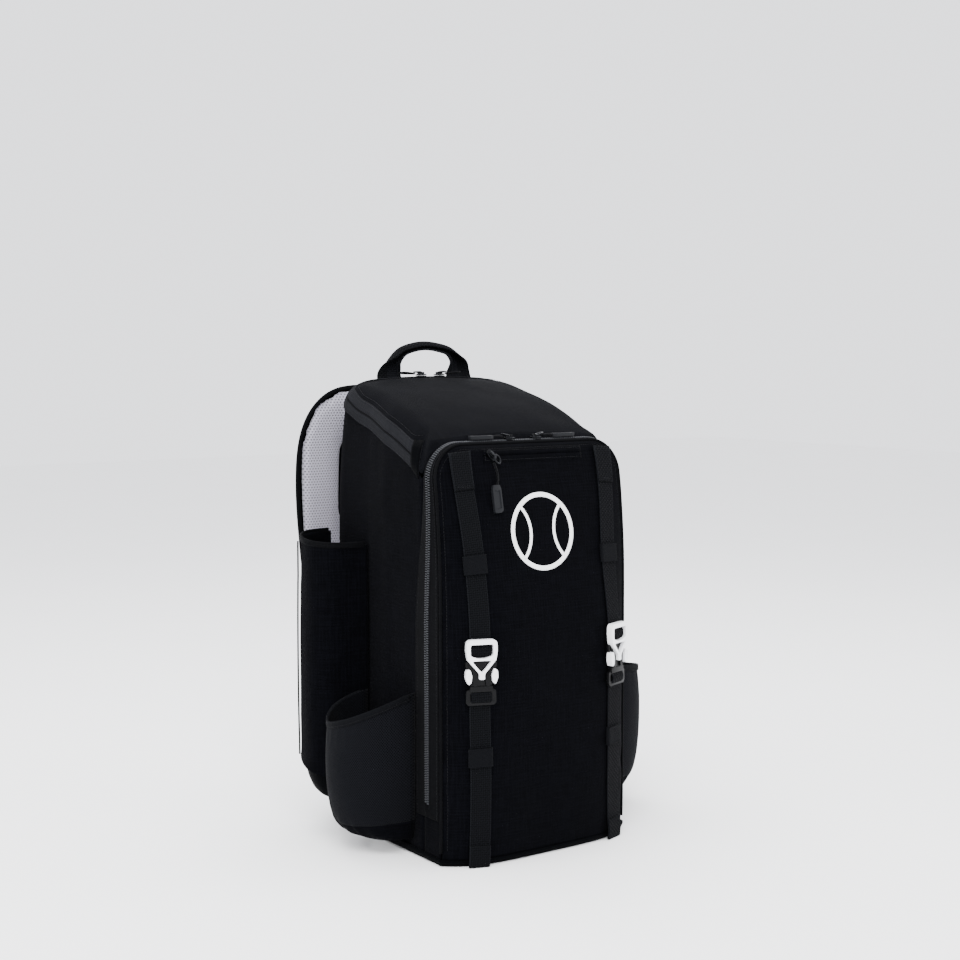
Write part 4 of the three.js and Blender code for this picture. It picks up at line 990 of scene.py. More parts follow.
def base_ring(height, offset):
    s = sizes()
    angle = np.linspace(-0.5, 0.5, 61) * math.pi
    x = s.front_width / 2 * np.sin(angle)
    front = np.stack([x, -face_depth(x, height)], axis=1)
    plan = main_ring()
    keep = plan.y > -s.front_wall / 2
    back = np.stack([plan.x[keep], plan.y[keep]], axis=1)
    points = np.vstack([front, back])
    before = np.roll(points, 1, axis=0)
    after = np.roll(points, -1, axis=0)
    along = unit(unit(points - before) + unit(after - points))
    points = points + np.stack([along[:, 1], -along[:, 0]], axis=1) * offset
    return np.vstack([points, points[:1]])


def build_base():
    s = sizes()
    profile = [(-5.5, 0), (-3.6, 0), (-1.2, 0.5), (0.7, 2.2), (1.3, 4.2)]
    rows = []
    for offset, z in profile:
        flat = base_ring(0.0, offset * MM)
        rows.append(np.column_stack([flat, np.full(len(flat), z * MM)]))
    flat = base_ring(8 * MM, 1.5 * MM)
    rim = mix(8 * MM, 28 * MM, smooth(-s.front_wall, s.back_wall, flat[:, 1]))
    for share in np.linspace(0.12, 1, 9):
        swell = 0.5 * MM * math.sin(share * math.pi)
        flat = base_ring(8 * MM, 1.5 * MM + swell)
        rows.append(np.column_stack([flat, mix(4.2 * MM, rim, share)]))
    grid = np.stack(rows)
    relief = 0.5 * MM * lumps(grid, 30 * MM, 11) * smooth(3 * MM, 8 * MM, grid[..., 2])
    grid = grid + body_point_normals(grid) * relief[..., None]
    piece = sheet_piece("base_tray", grid, inside=(0, 0.01, 0.05), wall=2.2 * MM, floor=True)
    dress(piece, "coated_cloth", ["base_panel"])


def build_lid():
    ring = main_ring().closed()
    seam = seam_share(ring)
    rows = [hull(ring, mix(1 + seam + 0.04, 2, share)) for share in np.linspace(0, 1, 16)]
    rows += [hull(ring, level) for level in np.linspace(2, 2.985, 44)[1:]]
    grid = np.stack(rows)
    normal = body_point_normals(grid, (0, 0.02, 0.4))
    x, y = grid[..., 0], grid[..., 1]
    share = np.broadcast_to(np.linspace(0, 1, len(rows))[:, None], x.shape)
    broad = lumps(grid * np.array([1, 1.3, 0.3]), 70 * MM, 2)
    ripple = lumps(grid * np.array([1, 1, 0.3]), 22 * MM, 6)
    relief = 1.5 * MM * broad * smooth(0.1, 0.4, share) + 0.35 * MM * ripple * smooth(0.06, 0.2, share)
    relief = relief + 0.6 * MM * bump(share - 0.03, 0.035)
    grid = grid + normal * relief[..., None]
    centre = np.array([0.0, 0.0185])
    flat = np.stack([x, y], axis=-1)
    drop = np.maximum(0, lid_top(x, y) - grid[..., 2])[..., None]
    outward = unit(flat - centre)
    uv = flat + outward * drop
    piece = sheet_piece("lid_shell", grid, inside=(0, 0.02, 0.4), wall=2.2 * MM, uv=uv, roof=True)
    dress(piece, "lid_cloth", ["lid"])


# Front compartment

def corner_distance(x, height, inset):
    """How far a place lies inside the front compartment's outline."""
    s = sizes()
    radius = s.panel_corner - inset
    qx = np.abs(x) - (s.front_width / 2 - s.panel_corner)
    qz = height - (s.panel_height - s.panel_corner)
    outside = np.hypot(np.maximum(qx, 0), np.maximum(qz, 0))
    return radius - outside - np.minimum(np.maximum(qx, qz), 0)


def front_surface(x, height):
    """Depth of the front panel's cloth with its rolled edge, hollows and puckers."""
    s = sizes()
    away = np.clip(corner_distance(x, height, PANEL_INSET), 0, PANEL_ROLL) / PANEL_ROLL
    roll = np.sqrt(np.clip(1 - (1 - away) ** 2, 0, 1))
    face = face_depth(x, height)
    seat = edge_depth(height) + 0.6 * MM
    depth = mix(seat, face, mix(roll, 1, smooth(0.5, 1, away)))
    place = np.stack([x, np.zeros_like(x), height], axis=-1)
    straps = s.front_width / 2 - s.strap_inset
    inner = smooth(straps - 8 * MM, straps - 26 * MM, np.abs(x))
    ball = smooth(s.ball * 0.48, s.ball * 0.75, np.hypot(x, height - BALL_HEIGHT))
    broad = lumps(place * np.array([1, 1, 0.55]), 62 * MM, 4)
    fine = lumps(place * np.array([1, 1, 0.45]), 21 * MM, 9)
    quiet = mix(0.35, 1, inner * ball) * smooth(0, 0.8, away)
    relief = quiet * (1.3 * MM * broad + 0.45 * MM * fine)
    outer = smooth(straps + 12 * MM, s.front_width / 2 - 6 * MM, np.abs(x))
    low = bump(height - 0.072, 46 * MM)
    pucker = np.sin(height / (7.5 * MM) + 2.2 * lumps(place, 30 * MM, 12))
    relief = relief + 0.9 * MM * outer * low * pucker
    return depth + relief


def on_front(x, height, lift=0.0):
    """Points on the front panel, lifted off along its outward direction."""
    x = np.asarray(x, float)
    height = np.asarray(height, float) * np.ones_like(x)
    step = 1.5 * MM
    across = np.stack([np.full_like(x, 2 * step),
                       front_surface(x - step, height) - front_surface(x + step, height),
                       np.zeros_like(x)], axis=-1)
    upward = np.stack([np.zeros_like(x),
                       front_surface(x, height - step) - front_surface(x, height + step),
                       np.full_like(x, 2 * step)], axis=-1)
    out = unit(np.cross(across, upward))
    at = np.stack([x, -front_surface(x, height), height], axis=-1)
    return at + out * np.asarray(lift)[..., None], out


def build_front():
    s = sizes()
    low = 6 * MM
    rows = np.r_[np.linspace(low, s.panel_height - s.panel_corner, 120),
                 s.panel_height - s.panel_corner
                 + (s.panel_corner - PANEL_INSET) * np.sin(np.linspace(0, math.pi / 2, 22)[1:])]
    spread = np.linspace(-1, 1, 97)
    spread = np.sign(spread) * mix(np.abs(spread), 1 - (1 - np.abs(spread)) ** 2, 0.35)
    over = np.maximum(0, rows - (s.panel_height - s.panel_corner))
    radius = s.panel_corner - PANEL_INSET
    half = s.front_width / 2 - s.panel_corner + np.sqrt(np.maximum(0, radius ** 2 - over ** 2))
    x = half[:, None] * spread
    z = np.broadcast_to(rows[:, None], x.shape)
    grid = np.stack([x, -front_surface(x, z), z], axis=-1)
    uv = np.stack([x, z], axis=-1)
    piece = sheet_piece("front_face", grid, inside=(0, 0, 0.2), wall=2.2 * MM, uv=uv)
    dress(piece, "body_cloth", ["front_panel"])

    outline = panel_ring(4 * MM).closed()
    shares = np.linspace(0, 1, 10)
    back, front = s.front_wall + 0.4 * MM, edge_depth(outline.y) - 1.2 * MM
    grid = np.stack([outline.standing(mix(back, front, share)) for share in shares])
    gusset = sheet_piece("front_gusset_band", grid, inside=(0, -0.1, 0.2), wall=2.2 * MM)
    dress(gusset, "body_cloth", ["front_gusset"])

    outline = front_line(14 * MM)
    points = outline.standing(edge_depth(outline.y)) - outline.standing_outward() * 0.2 * MM
    section = round_section(1.7 * MM, 12, -1.5 * MM)
    trim_piece("panel_piping_cord", points, (0, -1, 0), section, replaces=["panel_piping"])
    inner = points - outline.standing_outward() * 5.2 * MM
    at, out = on_front(inner[:, 0], inner[:, 2], 0.25 * MM)
    stitches("front_seam_stitches", [(at, out)])


def front_line(foot, spacing=2.5 * MM):
    """Outline of the front compartment from its right foot over the top to its left foot."""
    outline = panel_ring(spacing)
    order = np.flatnonzero(outline.y > foot)
    side = order[outline.x[order] > 0]
    start = side[np.argmin(outline.y[side])]
    order = np.r_[start:len(outline.x), 0:start]
    order = order[outline.y[order] > foot]
    return outline.take(order)


# Zips

def top_share(height):
    return smooth(0.55, 0.93, height / sizes().panel_height)


def zip_edges(height):
    s = sizes()
    back = mix(s.front_wall - 16 * MM, s.front_wall + 0.8 * MM, top_share(height))
    return back, edge_depth(height) - 3.0 * MM


def zip_surface(outline, depth, lift):
    return outline.standing(depth) + outline.standing_outward() * np.asarray(lift)[..., None]


def tooth_pattern():
    """One zip tooth: a small bar with a rounded head."""
    deselect()
    bpy.ops.mesh.primitive_cube_add(size=1.0, location=(0, 0, 0.5))
    pattern = bpy.context.object
    bpy.ops.object.mode_set(mode="EDIT")
    bpy.ops.mesh.select_all(action="DESELECT")
    shape = bmesh.from_edit_mesh(pattern.data)
    for face in shape.faces:
        face.select_set(face.normal.z > 0.9)
    bmesh.update_edit_mesh(pattern.data)
    bpy.ops.mesh.bevel(offset=0.28, segments=1)
    bpy.ops.object.mode_set(mode="OBJECT")
    bpy.ops.object.transform_apply(location=True, rotation=True, scale=True)
    return pattern


def teeth(name, line, out, replaces, pitch=2.6 * MM, width=3.3 * MM, height=2.0 * MM):
    distance = run_length(line)
    along = unit(np.gradient(line, axis=0))
    frames = []
    for mark in np.arange(pitch, distance[-1] - pitch, pitch):
        at, forward, up = (points_at(mark, distance, source) for source in (line, along, out))
        forward = unit(forward)
        side = unit(np.cross(up, forward))
        for hand in (-1, 1):
            frames.append((at + side * hand * width * 0.62 + forward * hand * pitch / 4,
                           forward * pitch * 0.5, side * width, up * height))
    piece = repeated(name, tooth_pattern(), frames)
    return dress(piece, "teeth_plastic", replaces, sharp=40)


def build_front_zip():
    outline = front_line(46 * MM, 3 * MM)
    back, front = zip_edges(outline.y)
    coil = mix(back, front, 0.52)
    behind, ahead = coil - back, front - coil
    fade = smooth(46 * MM, 62 * MM, outline.y)
    rows = [(coil - behind * share, lift) for share, lift in ((1, 0.3), (0.93, 1.0), (0.86, 0.6), (0.8, 1.0))]
    for offset, lift in ((-5.4, 1.0), (-4.6, 1.5), (-3.9, 1.5), (-3.5, 0.9), (-3.2, 0.3), (0, 0.2),
                         (3.2, 0.3), (3.5, 0.9), (3.9, 1.5), (4.6, 1.5), (5.4, 1.0)):
        offset = mix(np.sign(offset) * 0.3, offset, fade) * MM
        rows.append((coil + np.clip(offset, -behind * 0.7, ahead * 0.7), mix(0.9, lift, fade)))
    rows += [(coil + ahead * share, lift) for share, lift in ((0.76, 1.0), (0.84, 0.6), (0.9, 1.0), (1, 0.4))]
    grid = np.stack([zip_surface(outline, depth, np.full_like(depth, lift * MM)) for depth, lift in rows])
    piece = sheet_piece("front_zip_band", grid, inside=(0, -0.08, 0.2), wall=0.6 * MM)
    dress(piece, "edge_tape", ["front_zip_tape"])
    ends = outline.take(np.flatnonzero(outline.y > 60 * MM))
    back, front = zip_edges(ends.y)
    line = zip_surface(ends, mix(back, front, 0.52), np.full_like(back, 0.7 * MM))
    teeth("front_zip_teeth", line, ends.standing_outward(), ["front_zip_coil"])
    low = outline.take(np.flatnonzero(outline.y > 48 * MM))
    back, front = zip_edges(low.y)
    coil = mix(back, front, 0.52)
    out = low.standing_outward()
    rows = [(zip_surface(low, coil - (coil - back) * 0.84, np.full_like(coil, 0.9 * MM)), out),
            (zip_surface(low, coil + (front - coil) * 0.82, np.full_like(coil, 0.9 * MM)), out)]
    stitches("front_zip_stitches", rows)


def lid_zip_ring(spacing=3 * MM):
    s = sizes()
    plan = main_ring(spacing)
    keep = plan.y > -s.front_wall + 6 * MM
    start = np.flatnonzero(keep & (plan.x > 0))[0]
    order = np.r_[start:len(plan.x), 0:start]
    return plan.take(order[keep[order]])


def lid_zip_point(ring, side, lift):
    """Points on the lid's zip tape: side -1 is its lower edge, 1 its upper edge."""
    s = sizes()
    narrow = mix(1, 0.45, np.clip(ring.ny, 0, 1) ** 2)
    ahead = 13 * MM * (1 - smooth(-s.front_wall, -s.front_wall + s.shoulder, ring.y))
    level = 1 + seam_share(ring) + (side * 14 * MM * narrow + ahead) / (s.shoulder * math.pi / 2)
    point = hull(ring, np.clip(level, 1, 1.999))
    turn = np.clip(level - 1, 0, 1) * math.pi / 2
    out = np.stack([ring.nx * np.cos(turn), ring.ny * np.cos(turn), np.sin(turn)], axis=-1)
    point = point + out * lift
    point[..., 2] -= np.maximum(0, 1 - level) * s.shoulder * math.pi / 2
    return point, out


def build_lid_zip():
    ring = lid_zip_ring()
    rows = []
    for side, lift in ((-1, 0.4), (-0.97, 1.0), (-0.84, 1.2), (-0.8, 0.9), (-0.76, 1.2), (-0.34, 1.1),
                       (-0.3, 1.5), (-0.22, 1.7), (-0.14, 1.5), (-0.08, 0.9), (0, 0.7), (0.08, 0.9),
                       (0.14, 1.5), (0.22, 1.7), (0.3, 1.5), (0.34, 1.1), (0.76, 1.2), (0.8, 0.9),
                       (0.84, 1.2), (0.97, 1.0), (1, 0.4)):
        rows.append(lid_zip_point(ring, side, lift * MM)[0])
    piece = sheet_piece("lid_zip_band", np.stack(rows), inside=(0, 0.02, 0.42), wall=0.7 * MM)
    dress(piece, "smooth_tape", ["lid_zip_tape"])
    line, out = lid_zip_point(ring, 0, 0.5 * MM)
    trim_piece("lid_zip_core", line, out, rounded_section(2.2 * MM, 1.0 * MM), ["lid_zip_coil"])
    lines = [lid_zip_point(ring, side, 1.2 * MM) for side in (-0.9, 0.9)]
    stitches("lid_zip_stitches", lines)
    upper, out = lid_zip_point(ring, 1.34, 1.0 * MM)
    stitches("lid_hem_stitches", [(upper, out)])
    for word, part in (("right", slice(0, 6)), ("left", slice(-6, None))):
        ends = ring.take(part)
        rows = [lid_zip_point(ends, side, lift * MM)[0] for side, lift in
                ((-1.04, 0.2), (-1.02, 1.3), (-0.5, 2.0), (0, 2.1), (0.5, 2.0), (1.02, 1.3), (1.04, 0.2))]
        patch = sheet_piece(f"zip_end_patch_{word}", np.stack(rows), inside=(0, 0.02, 0.4), wall=0.8 * MM)
        dress(patch, "coated_cloth")


# Hard pieces, each modelled flat with its top on z and then set in place

def edit_faces(piece, wanted):
    """Opens a piece in edit mode with only the wanted faces selected."""
    activate(piece)
    bpy.ops.object.mode_set(mode="EDIT")
    bpy.ops.mesh.select_mode(type="FACE")
    bpy.ops.mesh.select_all(action="DESELECT")
    shape = bmesh.from_edit_mesh(piece.data)
    for face in shape.faces:
        face.select_set(wanted(face))
    bmesh.update_edit_mesh(piece.data)


def block(name, size, at=(0, 0, 0)):
    deselect()
    bpy.ops.mesh.primitive_cube_add(size=1.0, location=at, scale=size)
    bpy.ops.object.transform_apply(location=True, rotation=True, scale=True)
    return named(bpy.context.object, name)


def outline_block(name, outline, thickness, holes=()):
    """Plate drawn as a filled outline with holes, then extruded up by its thickness."""
    deselect()
    drawing = bpy.data.curves.new(name, "CURVE")
    drawing.dimensions = "2D"
    drawing.fill_mode = "BOTH"
    drawing.extrude = thickness / 2
    for loop in [outline, *holes]:
        spline = drawing.splines.new("POLY")
        spline.points.add(len(loop) - 1)
        for point, (x, y) in zip(spline.points, loop):
            point.co = (x, y, 0, 1)
        spline.use_cyclic_u = True
    piece = bpy.data.objects.new(name, drawing)
    bpy.context.scene.collection.objects.link(piece)
    activate(piece)
    bpy.ops.object.convert(target="MESH")
    piece = bpy.context.object
    bpy.ops.object.mode_set(mode="EDIT")
    bpy.ops.mesh.select_all(action="SELECT")
    bpy.ops.mesh.remove_doubles(threshold=1e-6)
    bpy.ops.mesh.normals_make_consistent(inside=False)
    bpy.ops.transform.translate(value=(0, 0, thickness / 2))
    bpy.ops.object.mode_set(mode="OBJECT")
    return piece


def soften(piece, width, segments=2):
    modifier = piece.modifiers.new("edges", "BEVEL")
    modifier.width = width
    modifier.segments = segments
    modifier.limit_method = "ANGLE"
    modifier.angle_limit = math.radians(35)
    modifier.use_clamp_overlap = True
    apply_modifiers(piece)


def join(name, pieces):
    activate(pieces[0])
    for piece in pieces[1:]:
        piece.select_set(True)
    bpy.ops.object.join()
    return named(pieces[0], name)


def copy_piece(piece, name):
    twin = piece.copy()
    twin.data = piece.data.copy()
    bpy.context.scene.collection.objects.link(twin)
    return named(twin, name)


def set_in_place(piece, place, x, y, z):
    """Moves a flat-modelled piece so that its axes lie along x, y and z."""
    turn = Matrix([[x[0], y[0], z[0], place[0]], [x[1], y[1], z[1], place[1]],
                   [x[2], y[2], z[2], place[2]], [0, 0, 0, 1]])
    piece.data.transform(turn)
    piece.data.update()


def rounded_loop(corners, steps=4):
    """Outline of corner points (x, y, radius) as a list of points."""
    points = []
    count = len(corners)
    for index, (x, y, radius) in enumerate(corners):
        at = np.array([x, y], float)
        back = np.array(corners[index - 1][:2]) - at
        ahead = np.array(corners[(index + 1) % count][:2]) - at
        reach = min(np.linalg.norm(back), np.linalg.norm(ahead)) * 0.49
        if radius <= 0:
            points.append(tuple(at))
            continue
        a, b = unit(back), unit(ahead)
        half = math.acos(max(-1, min(1, float(a @ b)))) / 2
        cut = min(reach, radius / max(math.tan(half), 1e-3))
        for share in np.linspace(0, 1, steps + 1):
            first, last = at + a * cut, at + b * cut
            point = (1 - share) ** 2 * first + 2 * share * (1 - share) * at + share ** 2 * last
            points.append(tuple(point))
    return points


def mirrored(half):
    """Whole outline from its right half, listed from top to bottom."""
    return half + [(-x, y, radius) for x, y, radius in half[::-1]]


def plate(name, corners, thickness, edge, holes=(), steps=5, segments=3):
    """Flat plate with soft edges, its corners (x, y, radius) and depths in millimetres."""
    def sized(loop):
        return rounded_loop([(x * MM, y * MM, radius * MM) for x, y, radius in loop], steps)
    made = outline_block(name, sized(corners), thickness * MM, [sized(hole) for hole in holes])
    soften(made, edge * MM, segments)
    return made


def slider_piece(name):
    """Zip slider: a waisted plate above and below the tape, and a bridge over it."""
    body = plate(name, [(-6.5, -2.6, 0.8), (-1.5, -4.2, 1.2), (5.6, -3.6, 1.4), (6.5, 0, 1.5),
                        (5.6, 3.6, 1.4), (-1.5, 4.2, 1.2), (-6.5, 2.6, 0.8)], 1.3, 0.4, steps=4, segments=2)
    lower = copy_piece(body, name + "_lower")
    lower.data.transform(Matrix.Translation((0, 0, -2.0 * MM)))
    bridge = block(name + "_bridge", (9 * MM, 2.4 * MM, 3.0 * MM), (0, 0, 2.4 * MM))
    edit_faces(bridge, lambda face: abs(face.normal.y) > 0.9)
    bpy.ops.mesh.inset(thickness=0.75 * MM, depth=-0.7 * MM)
    bpy.ops.object.mode_set(mode="OBJECT")
    soften(bridge, 0.35 * MM)
    return join(name, [body, lower, bridge])


def pull_loop(radius, thick, stretch):
    deselect()
    bpy.ops.mesh.primitive_torus_add(major_radius=radius, minor_radius=thick, major_segments=28,
                                     minor_segments=8)
    piece = named(bpy.context.object, "pull_loop")
    bpy.ops.object.mode_set(mode="EDIT")
    bpy.ops.mesh.select_all(action="SELECT")
    bpy.ops.transform.resize(value=(stretch, 1, 1))
    bpy.ops.object.mode_set(mode="OBJECT")
    return piece


def add_loop(slider, radius, thick, stretch, place, tilt=0):
    """Joins the loop of its pull to a slider."""
    loop = pull_loop(radius, thick, stretch)
    loop.data.transform(Matrix.Translation(place) @ Matrix.Rotation(math.radians(tilt), 4, "Y"))
    return join(slider.name, [slider, loop])


def grip_piece(name, length, width, thickness):
    """Moulded pull grip with a sunk panel and a slanted foot, its length along Y."""
    grip = outline_block(name, rounded_loop([
        (-width * 0.36, length / 2, 1.2 * MM), (width * 0.36, length / 2, 1.2 * MM),
        (width / 2, length * 0.36, 1.4 * MM), (width / 2, -length / 2 + 2.4 * MM, 1.6 * MM),
        (width * 0.22, -length / 2, 1.6 * MM), (-width / 2, -length / 2, 1.8 * MM),
        (-width / 2, length * 0.36, 1.4 * MM)]), thickness)
    soften(grip, 0.8 * MM, 3)
    edit_faces(grip, lambda face: face.normal.z > 0.95 and face.calc_area() > 30e-6)
    bpy.ops.mesh.inset(thickness=1.7 * MM)
    bpy.ops.mesh.inset(thickness=0.5 * MM, depth=-0.9 * MM)
    bpy.ops.object.mode_set(mode="OBJECT")
    return grip


def build_sliders():
    s = sizes()
    pattern = slider_piece("slider_pattern")
    zip_top = s.panel_height + 3.6 * MM
    back, front = zip_edges(np.array([s.panel_height]))
    y = -float(mix(back, front, 0.52)[0])
    z_axis = np.array([0, 0, 1.0])
    for word, side in SIDES:
        x_axis = np.array([side, 0, 0.0])
        y_axis = np.cross(z_axis, x_axis)
        slider = copy_piece(pattern, f"top_slider_{word}")
        slider = add_loop(slider, 3.1 * MM, 0.75 * MM, 1.5, (4.6 * MM, 0, 4.2 * MM), -14)
        set_in_place(slider, (side * 18.2 * MM, y, zip_top), x_axis, y_axis, z_axis)
        dress(slider, "slider_metal", [f"front_slider_{word}"], sharp=40)
        start = side * 27 * MM
        reach = 14.5 * MM
        marks = np.linspace(0, 1, 12)
        line = np.stack([start + side * reach * marks,
                         y - 1.0 * MM * np.sin(marks * math.pi),
                         zip_top + 2.2 * MM + 1.1 * MM * np.sin(marks * math.pi)], axis=1)
        cord_piece(f"top_cord_{word}", line, (0, 0, 1), 1.25 * MM, 10, [f"front_cord_{word}"])
        grip = grip_piece(f"top_grip_{word}", 30 * MM, 7.7 * MM, 4 * MM)
        set_in_place(grip, (side * 55.5 * MM, y, zip_top + 0.2 * MM), (0, side, 0), (-side, 0, 0), (0, 0, 1))
        dress(grip, "rubber_grip", [f"front_grip_{word}"], sharp=35)

    ring = lid_zip_ring()
    middle = int(np.argmin(np.where(ring.y > 0, np.abs(ring.x), 9)))
    at, out = lid_zip_point(ring, 0, 2.9 * MM)
    at, out = at[middle], out[middle]
    for word, side in SIDES:
        x_axis = np.array([side, 0, 0.0])
        y_axis = unit(np.cross(out, x_axis))
        slider = copy_piece(pattern, f"back_slider_{word}")
        slider = add_loop(slider, 3.1 * MM, 0.75 * MM, 1.5, (4.6 * MM, 0, 4.0 * MM))
        set_in_place(slider, at + x_axis * 13 * MM, x_axis, y_axis, out)
        dress(slider, "slider_metal", [f"lid_slider_{word}"], sharp=40)
        marks = np.linspace(0, 1, 25)
        swing = np.sin(marks * math.pi)
        line = (at + x_axis * ((22 + 20 * swing)[:, None] * MM)
                + y_axis * ((4.7 * np.sin(marks * 2 * math.pi))[:, None] * MM)
                + out * ((2.0 + 1.2 * swing)[:, None] * MM))
        cord = cord_piece(f"back_pull_{word}", line, out, 1.1 * MM, 8, [f"lid_pull_{word}"])
    bpy.data.objects.remove(pattern)


def build_pocket_zip():
    height, length = POCKET_ZIP_HEIGHT, POCKET_ZIP_LENGTH
    x = np.linspace(-length / 2, length / 2, 60)
    rows = []
    for offset, lift in (
            (-7.4, 0.3), (-6.6, 1.2), (-5.4, 1.5), (-4.9, 1.1), (-4.4, 1.5), (-2.0, 1.9), (-1.0, 1.5),
            (-0.7, 0.5), (0.7, 0.5), (1.0, 2.0), (2.4, 2.7), (4.2, 2.5), (4.8, 1.6), (5.4, 1.9),
            (6.4, 1.4), (7.2, 0.3)):
        ends = bump(np.abs(x) - length / 2, 2.5 * MM)
        rows.append(on_front(x, height + offset * MM, lift * MM * (1 - 0.6 * ends))[0])
    welt = sheet_piece("pocket_zip_welt", np.stack(rows), inside=(0, 0, 0.4), wall=0.8 * MM)
    dress(welt, "body_cloth", ["pocket_zip"])
    low, out_low = on_front(x, height - 4.9 * MM, 1.5 * MM)
    high, out_high = on_front(x, height + 4.8 * MM, 2.1 * MM)
    marks = np.linspace(-6.5, 6.5, 9) * MM
    left, out_left = on_front(np.full(9, -length / 2 + 2 * MM), height + marks, 1.6 * MM)
    right, out_right = on_front(np.full(9, length / 2 - 2 * MM), height + marks, 1.6 * MM)
    stitches("pocket_zip_stitches", [(low, out_low), (high, out_high), (left, out_left), (right, out_right)],
             pitch=2.8 * MM, length=2.0 * MM, thread=0.5 * MM)
    slider_x = -length / 2 + 9.1 * MM
    at, out = on_front(np.array([slider_x]), height, 3.0 * MM)
    at, out = at[0], out[0]
    slider = add_loop(slider_piece("small_zip_slider"), 3.3 * MM, 0.8 * MM, 1.6, (6.5 * MM, 0, 4.4 * MM), 12)
    across = unit(np.cross((0, 0, 1), out))
    down = unit(across * 0.62 - np.array([0, 0, 1]) * 0.78)
    down = unit(down - out * (down @ out))
    set_in_place(slider, at, down, np.cross(out, down), out)
    dress(slider, "slider_metal", ["pocket_slider"], sharp=40)
    top = height - 8 * MM
    marks = np.linspace(0, 1, 22)
    bend = slider_x + 3.2 * MM * np.sin(marks * math.pi * 0.9) + 1.6 * MM
    line = on_front(bend, top - 25 * MM * marks, (2.3 + 1.4 * (1 - marks)) * MM)[0]
    facing = on_front(bend, top - 25 * MM * marks, 0.0)[1]
    cord_piece("small_zip_cord", line, facing, 1.25 * MM, 10, ["pocket_cord"])
    middle = POCKET_ZIP_HEIGHT - 6.4 * MM - 24 * MM - 0.4 * MM - 15 * MM
    at, out = on_front(np.array([slider_x]), middle, 0.9 * MM)
    grip = grip_piece("small_zip_grip", 30 * MM, 11 * MM, 4 * MM)
    across = unit(np.cross((0, 0, 1), out[0]))
    set_in_place(grip, at[0], across, np.cross(out[0], across), out[0])
    dress(grip, "rubber_grip", ["pocket_grip"], sharp=35)


# Side pockets

def pocket_plan(side, size, offset, count=56):
    s = sizes()
    depth = s.full_pocket_depth if side > 0 else s.pocket_depth
    half = s.pocket_length / 2
    wall = s.front_width / 2 + 0.4 * MM
    angle = np.linspace(0, math.pi, count)
    out = np.sin(angle) ** 0.8
    along = -np.cos(angle)
    x = wall + offset + np.maximum(0, depth * size * out - 2 * offset)
    y = half - POCKET_FRONT + along * (half - offset) * mix(1, size, 0.25)
    return x, y, angle / math.pi


def rim_height(side, share):
    return sizes().pocket_rim - (SHALLOW_DIP if side > 0 else DEEP_DIP) * RIM_DIP(share)


def build_pockets():
    for word, side in SIDES:
        shares = np.r_[np.linspace(0, 0.16, 12), np.linspace(0.16, 0.9, 40)[1:], np.linspace(0.9, 1, 10)[1:]]
        rows, uv = [], []
        for share in shares:
            x, y, turn = pocket_plan(side, float(POCKET_SIZE(share)), 0.0)
            z = mix(POCKET_FOOT, rim_height(side, turn), share)
            bottom = bump(share, 0.14) * smooth(0, 0.05, share)
            drift = lumps(np.stack([turn, turn * 0, turn * 0], -1), 0.1, 3)
            gather = 1.5 * MM * bottom * np.sin(turn * 46 + 3 * drift)
            hang = 1.6 * MM * lumps(np.stack([x, y, z * 0.7], -1), 40 * MM, 14 + side)
            below = bump((rim_height(side, turn) - z) - 16 * MM, 9 * MM)
            pull = 0.35 * MM * below * np.sin(turn * 90)
            shift = (gather + hang * smooth(0, 0.2, turn) * smooth(1, 0.8, turn) + pull)
            shift = shift * smooth(0, 0.08, turn) * smooth(1, 0.92, turn)
            angle = turn * math.pi
            x = x + shift * np.sin(angle)
            y = y - shift * np.cos(angle) * 0.7
            rows.append(np.stack([side * x, y, z], axis=-1))
            uv.append(np.stack([side * turn * 0.21, np.full_like(turn, 0) + z], axis=-1))
        grid = np.stack(rows)
        split = 9
        centre = (side * 0.15, -0.01, 0.1)
        upper = sheet_piece(f"pocket_net_{word}", grid[split:], inside=centre, wall=1.2 * MM,
                            uv=np.stack(uv)[split:])
        dress(upper, "pocket_net", [f"bottle_pocket_{word}"])
        floor_rows = grid[:split + 1]
        lower = sheet_piece(f"pocket_foot_{word}", floor_rows, inside=centre, wall=1.4 * MM,
                            uv=np.stack(uv)[:split + 1], floor=True)
        dress(lower, "body_cloth")
        x, y, turn = pocket_plan(side, 0.96, -1.2 * MM, 70)
        keep = (turn > 0.01) & (turn < 0.99)
        x, y, turn = x[keep], y[keep], turn[keep]
        rim = rim_height(side, turn)
        rows = []
        for drop, lift in ((7.4, 0.1), (7.0, 0.6), (6.0, 0.8), (5.4, 0.5), (4.8, 0.8), (2.6, 0.9), (0.9, 0.9),
                           (-0.7, 0.3), (-0.4, -1.0), (0.4, -1.8), (3, -2.2)):
            angle = turn * math.pi
            crimp = 0.25 * MM * np.sin(turn * 260)
            out_x = (lift * MM + crimp) * np.sin(angle)
            out_y = -(lift * MM + crimp) * np.cos(angle)
            rows.append(np.stack([side * (x + out_x), y + out_y, rim - drop * MM], axis=-1))
        band = sheet_piece(f"pocket_rim_{word}", np.stack(rows), inside=centre, wall=0.5 * MM)
        dress(band, "elastic", [f"bottle_pocket_rim_{word}"])
        angle = turn * math.pi
        line = np.stack([side * (x + 1.2 * MM * np.sin(angle)), y - 1.2 * MM * np.cos(angle),
                         rim - 5.4 * MM], -1)
        out = np.stack([side * np.sin(angle), -np.cos(angle), 0 * angle], -1)
        stitches(f"pocket_rim_stitches_{word}", [(line, out)],
                 pitch=2.8 * MM, length=2.0 * MM, thread=0.5 * MM)


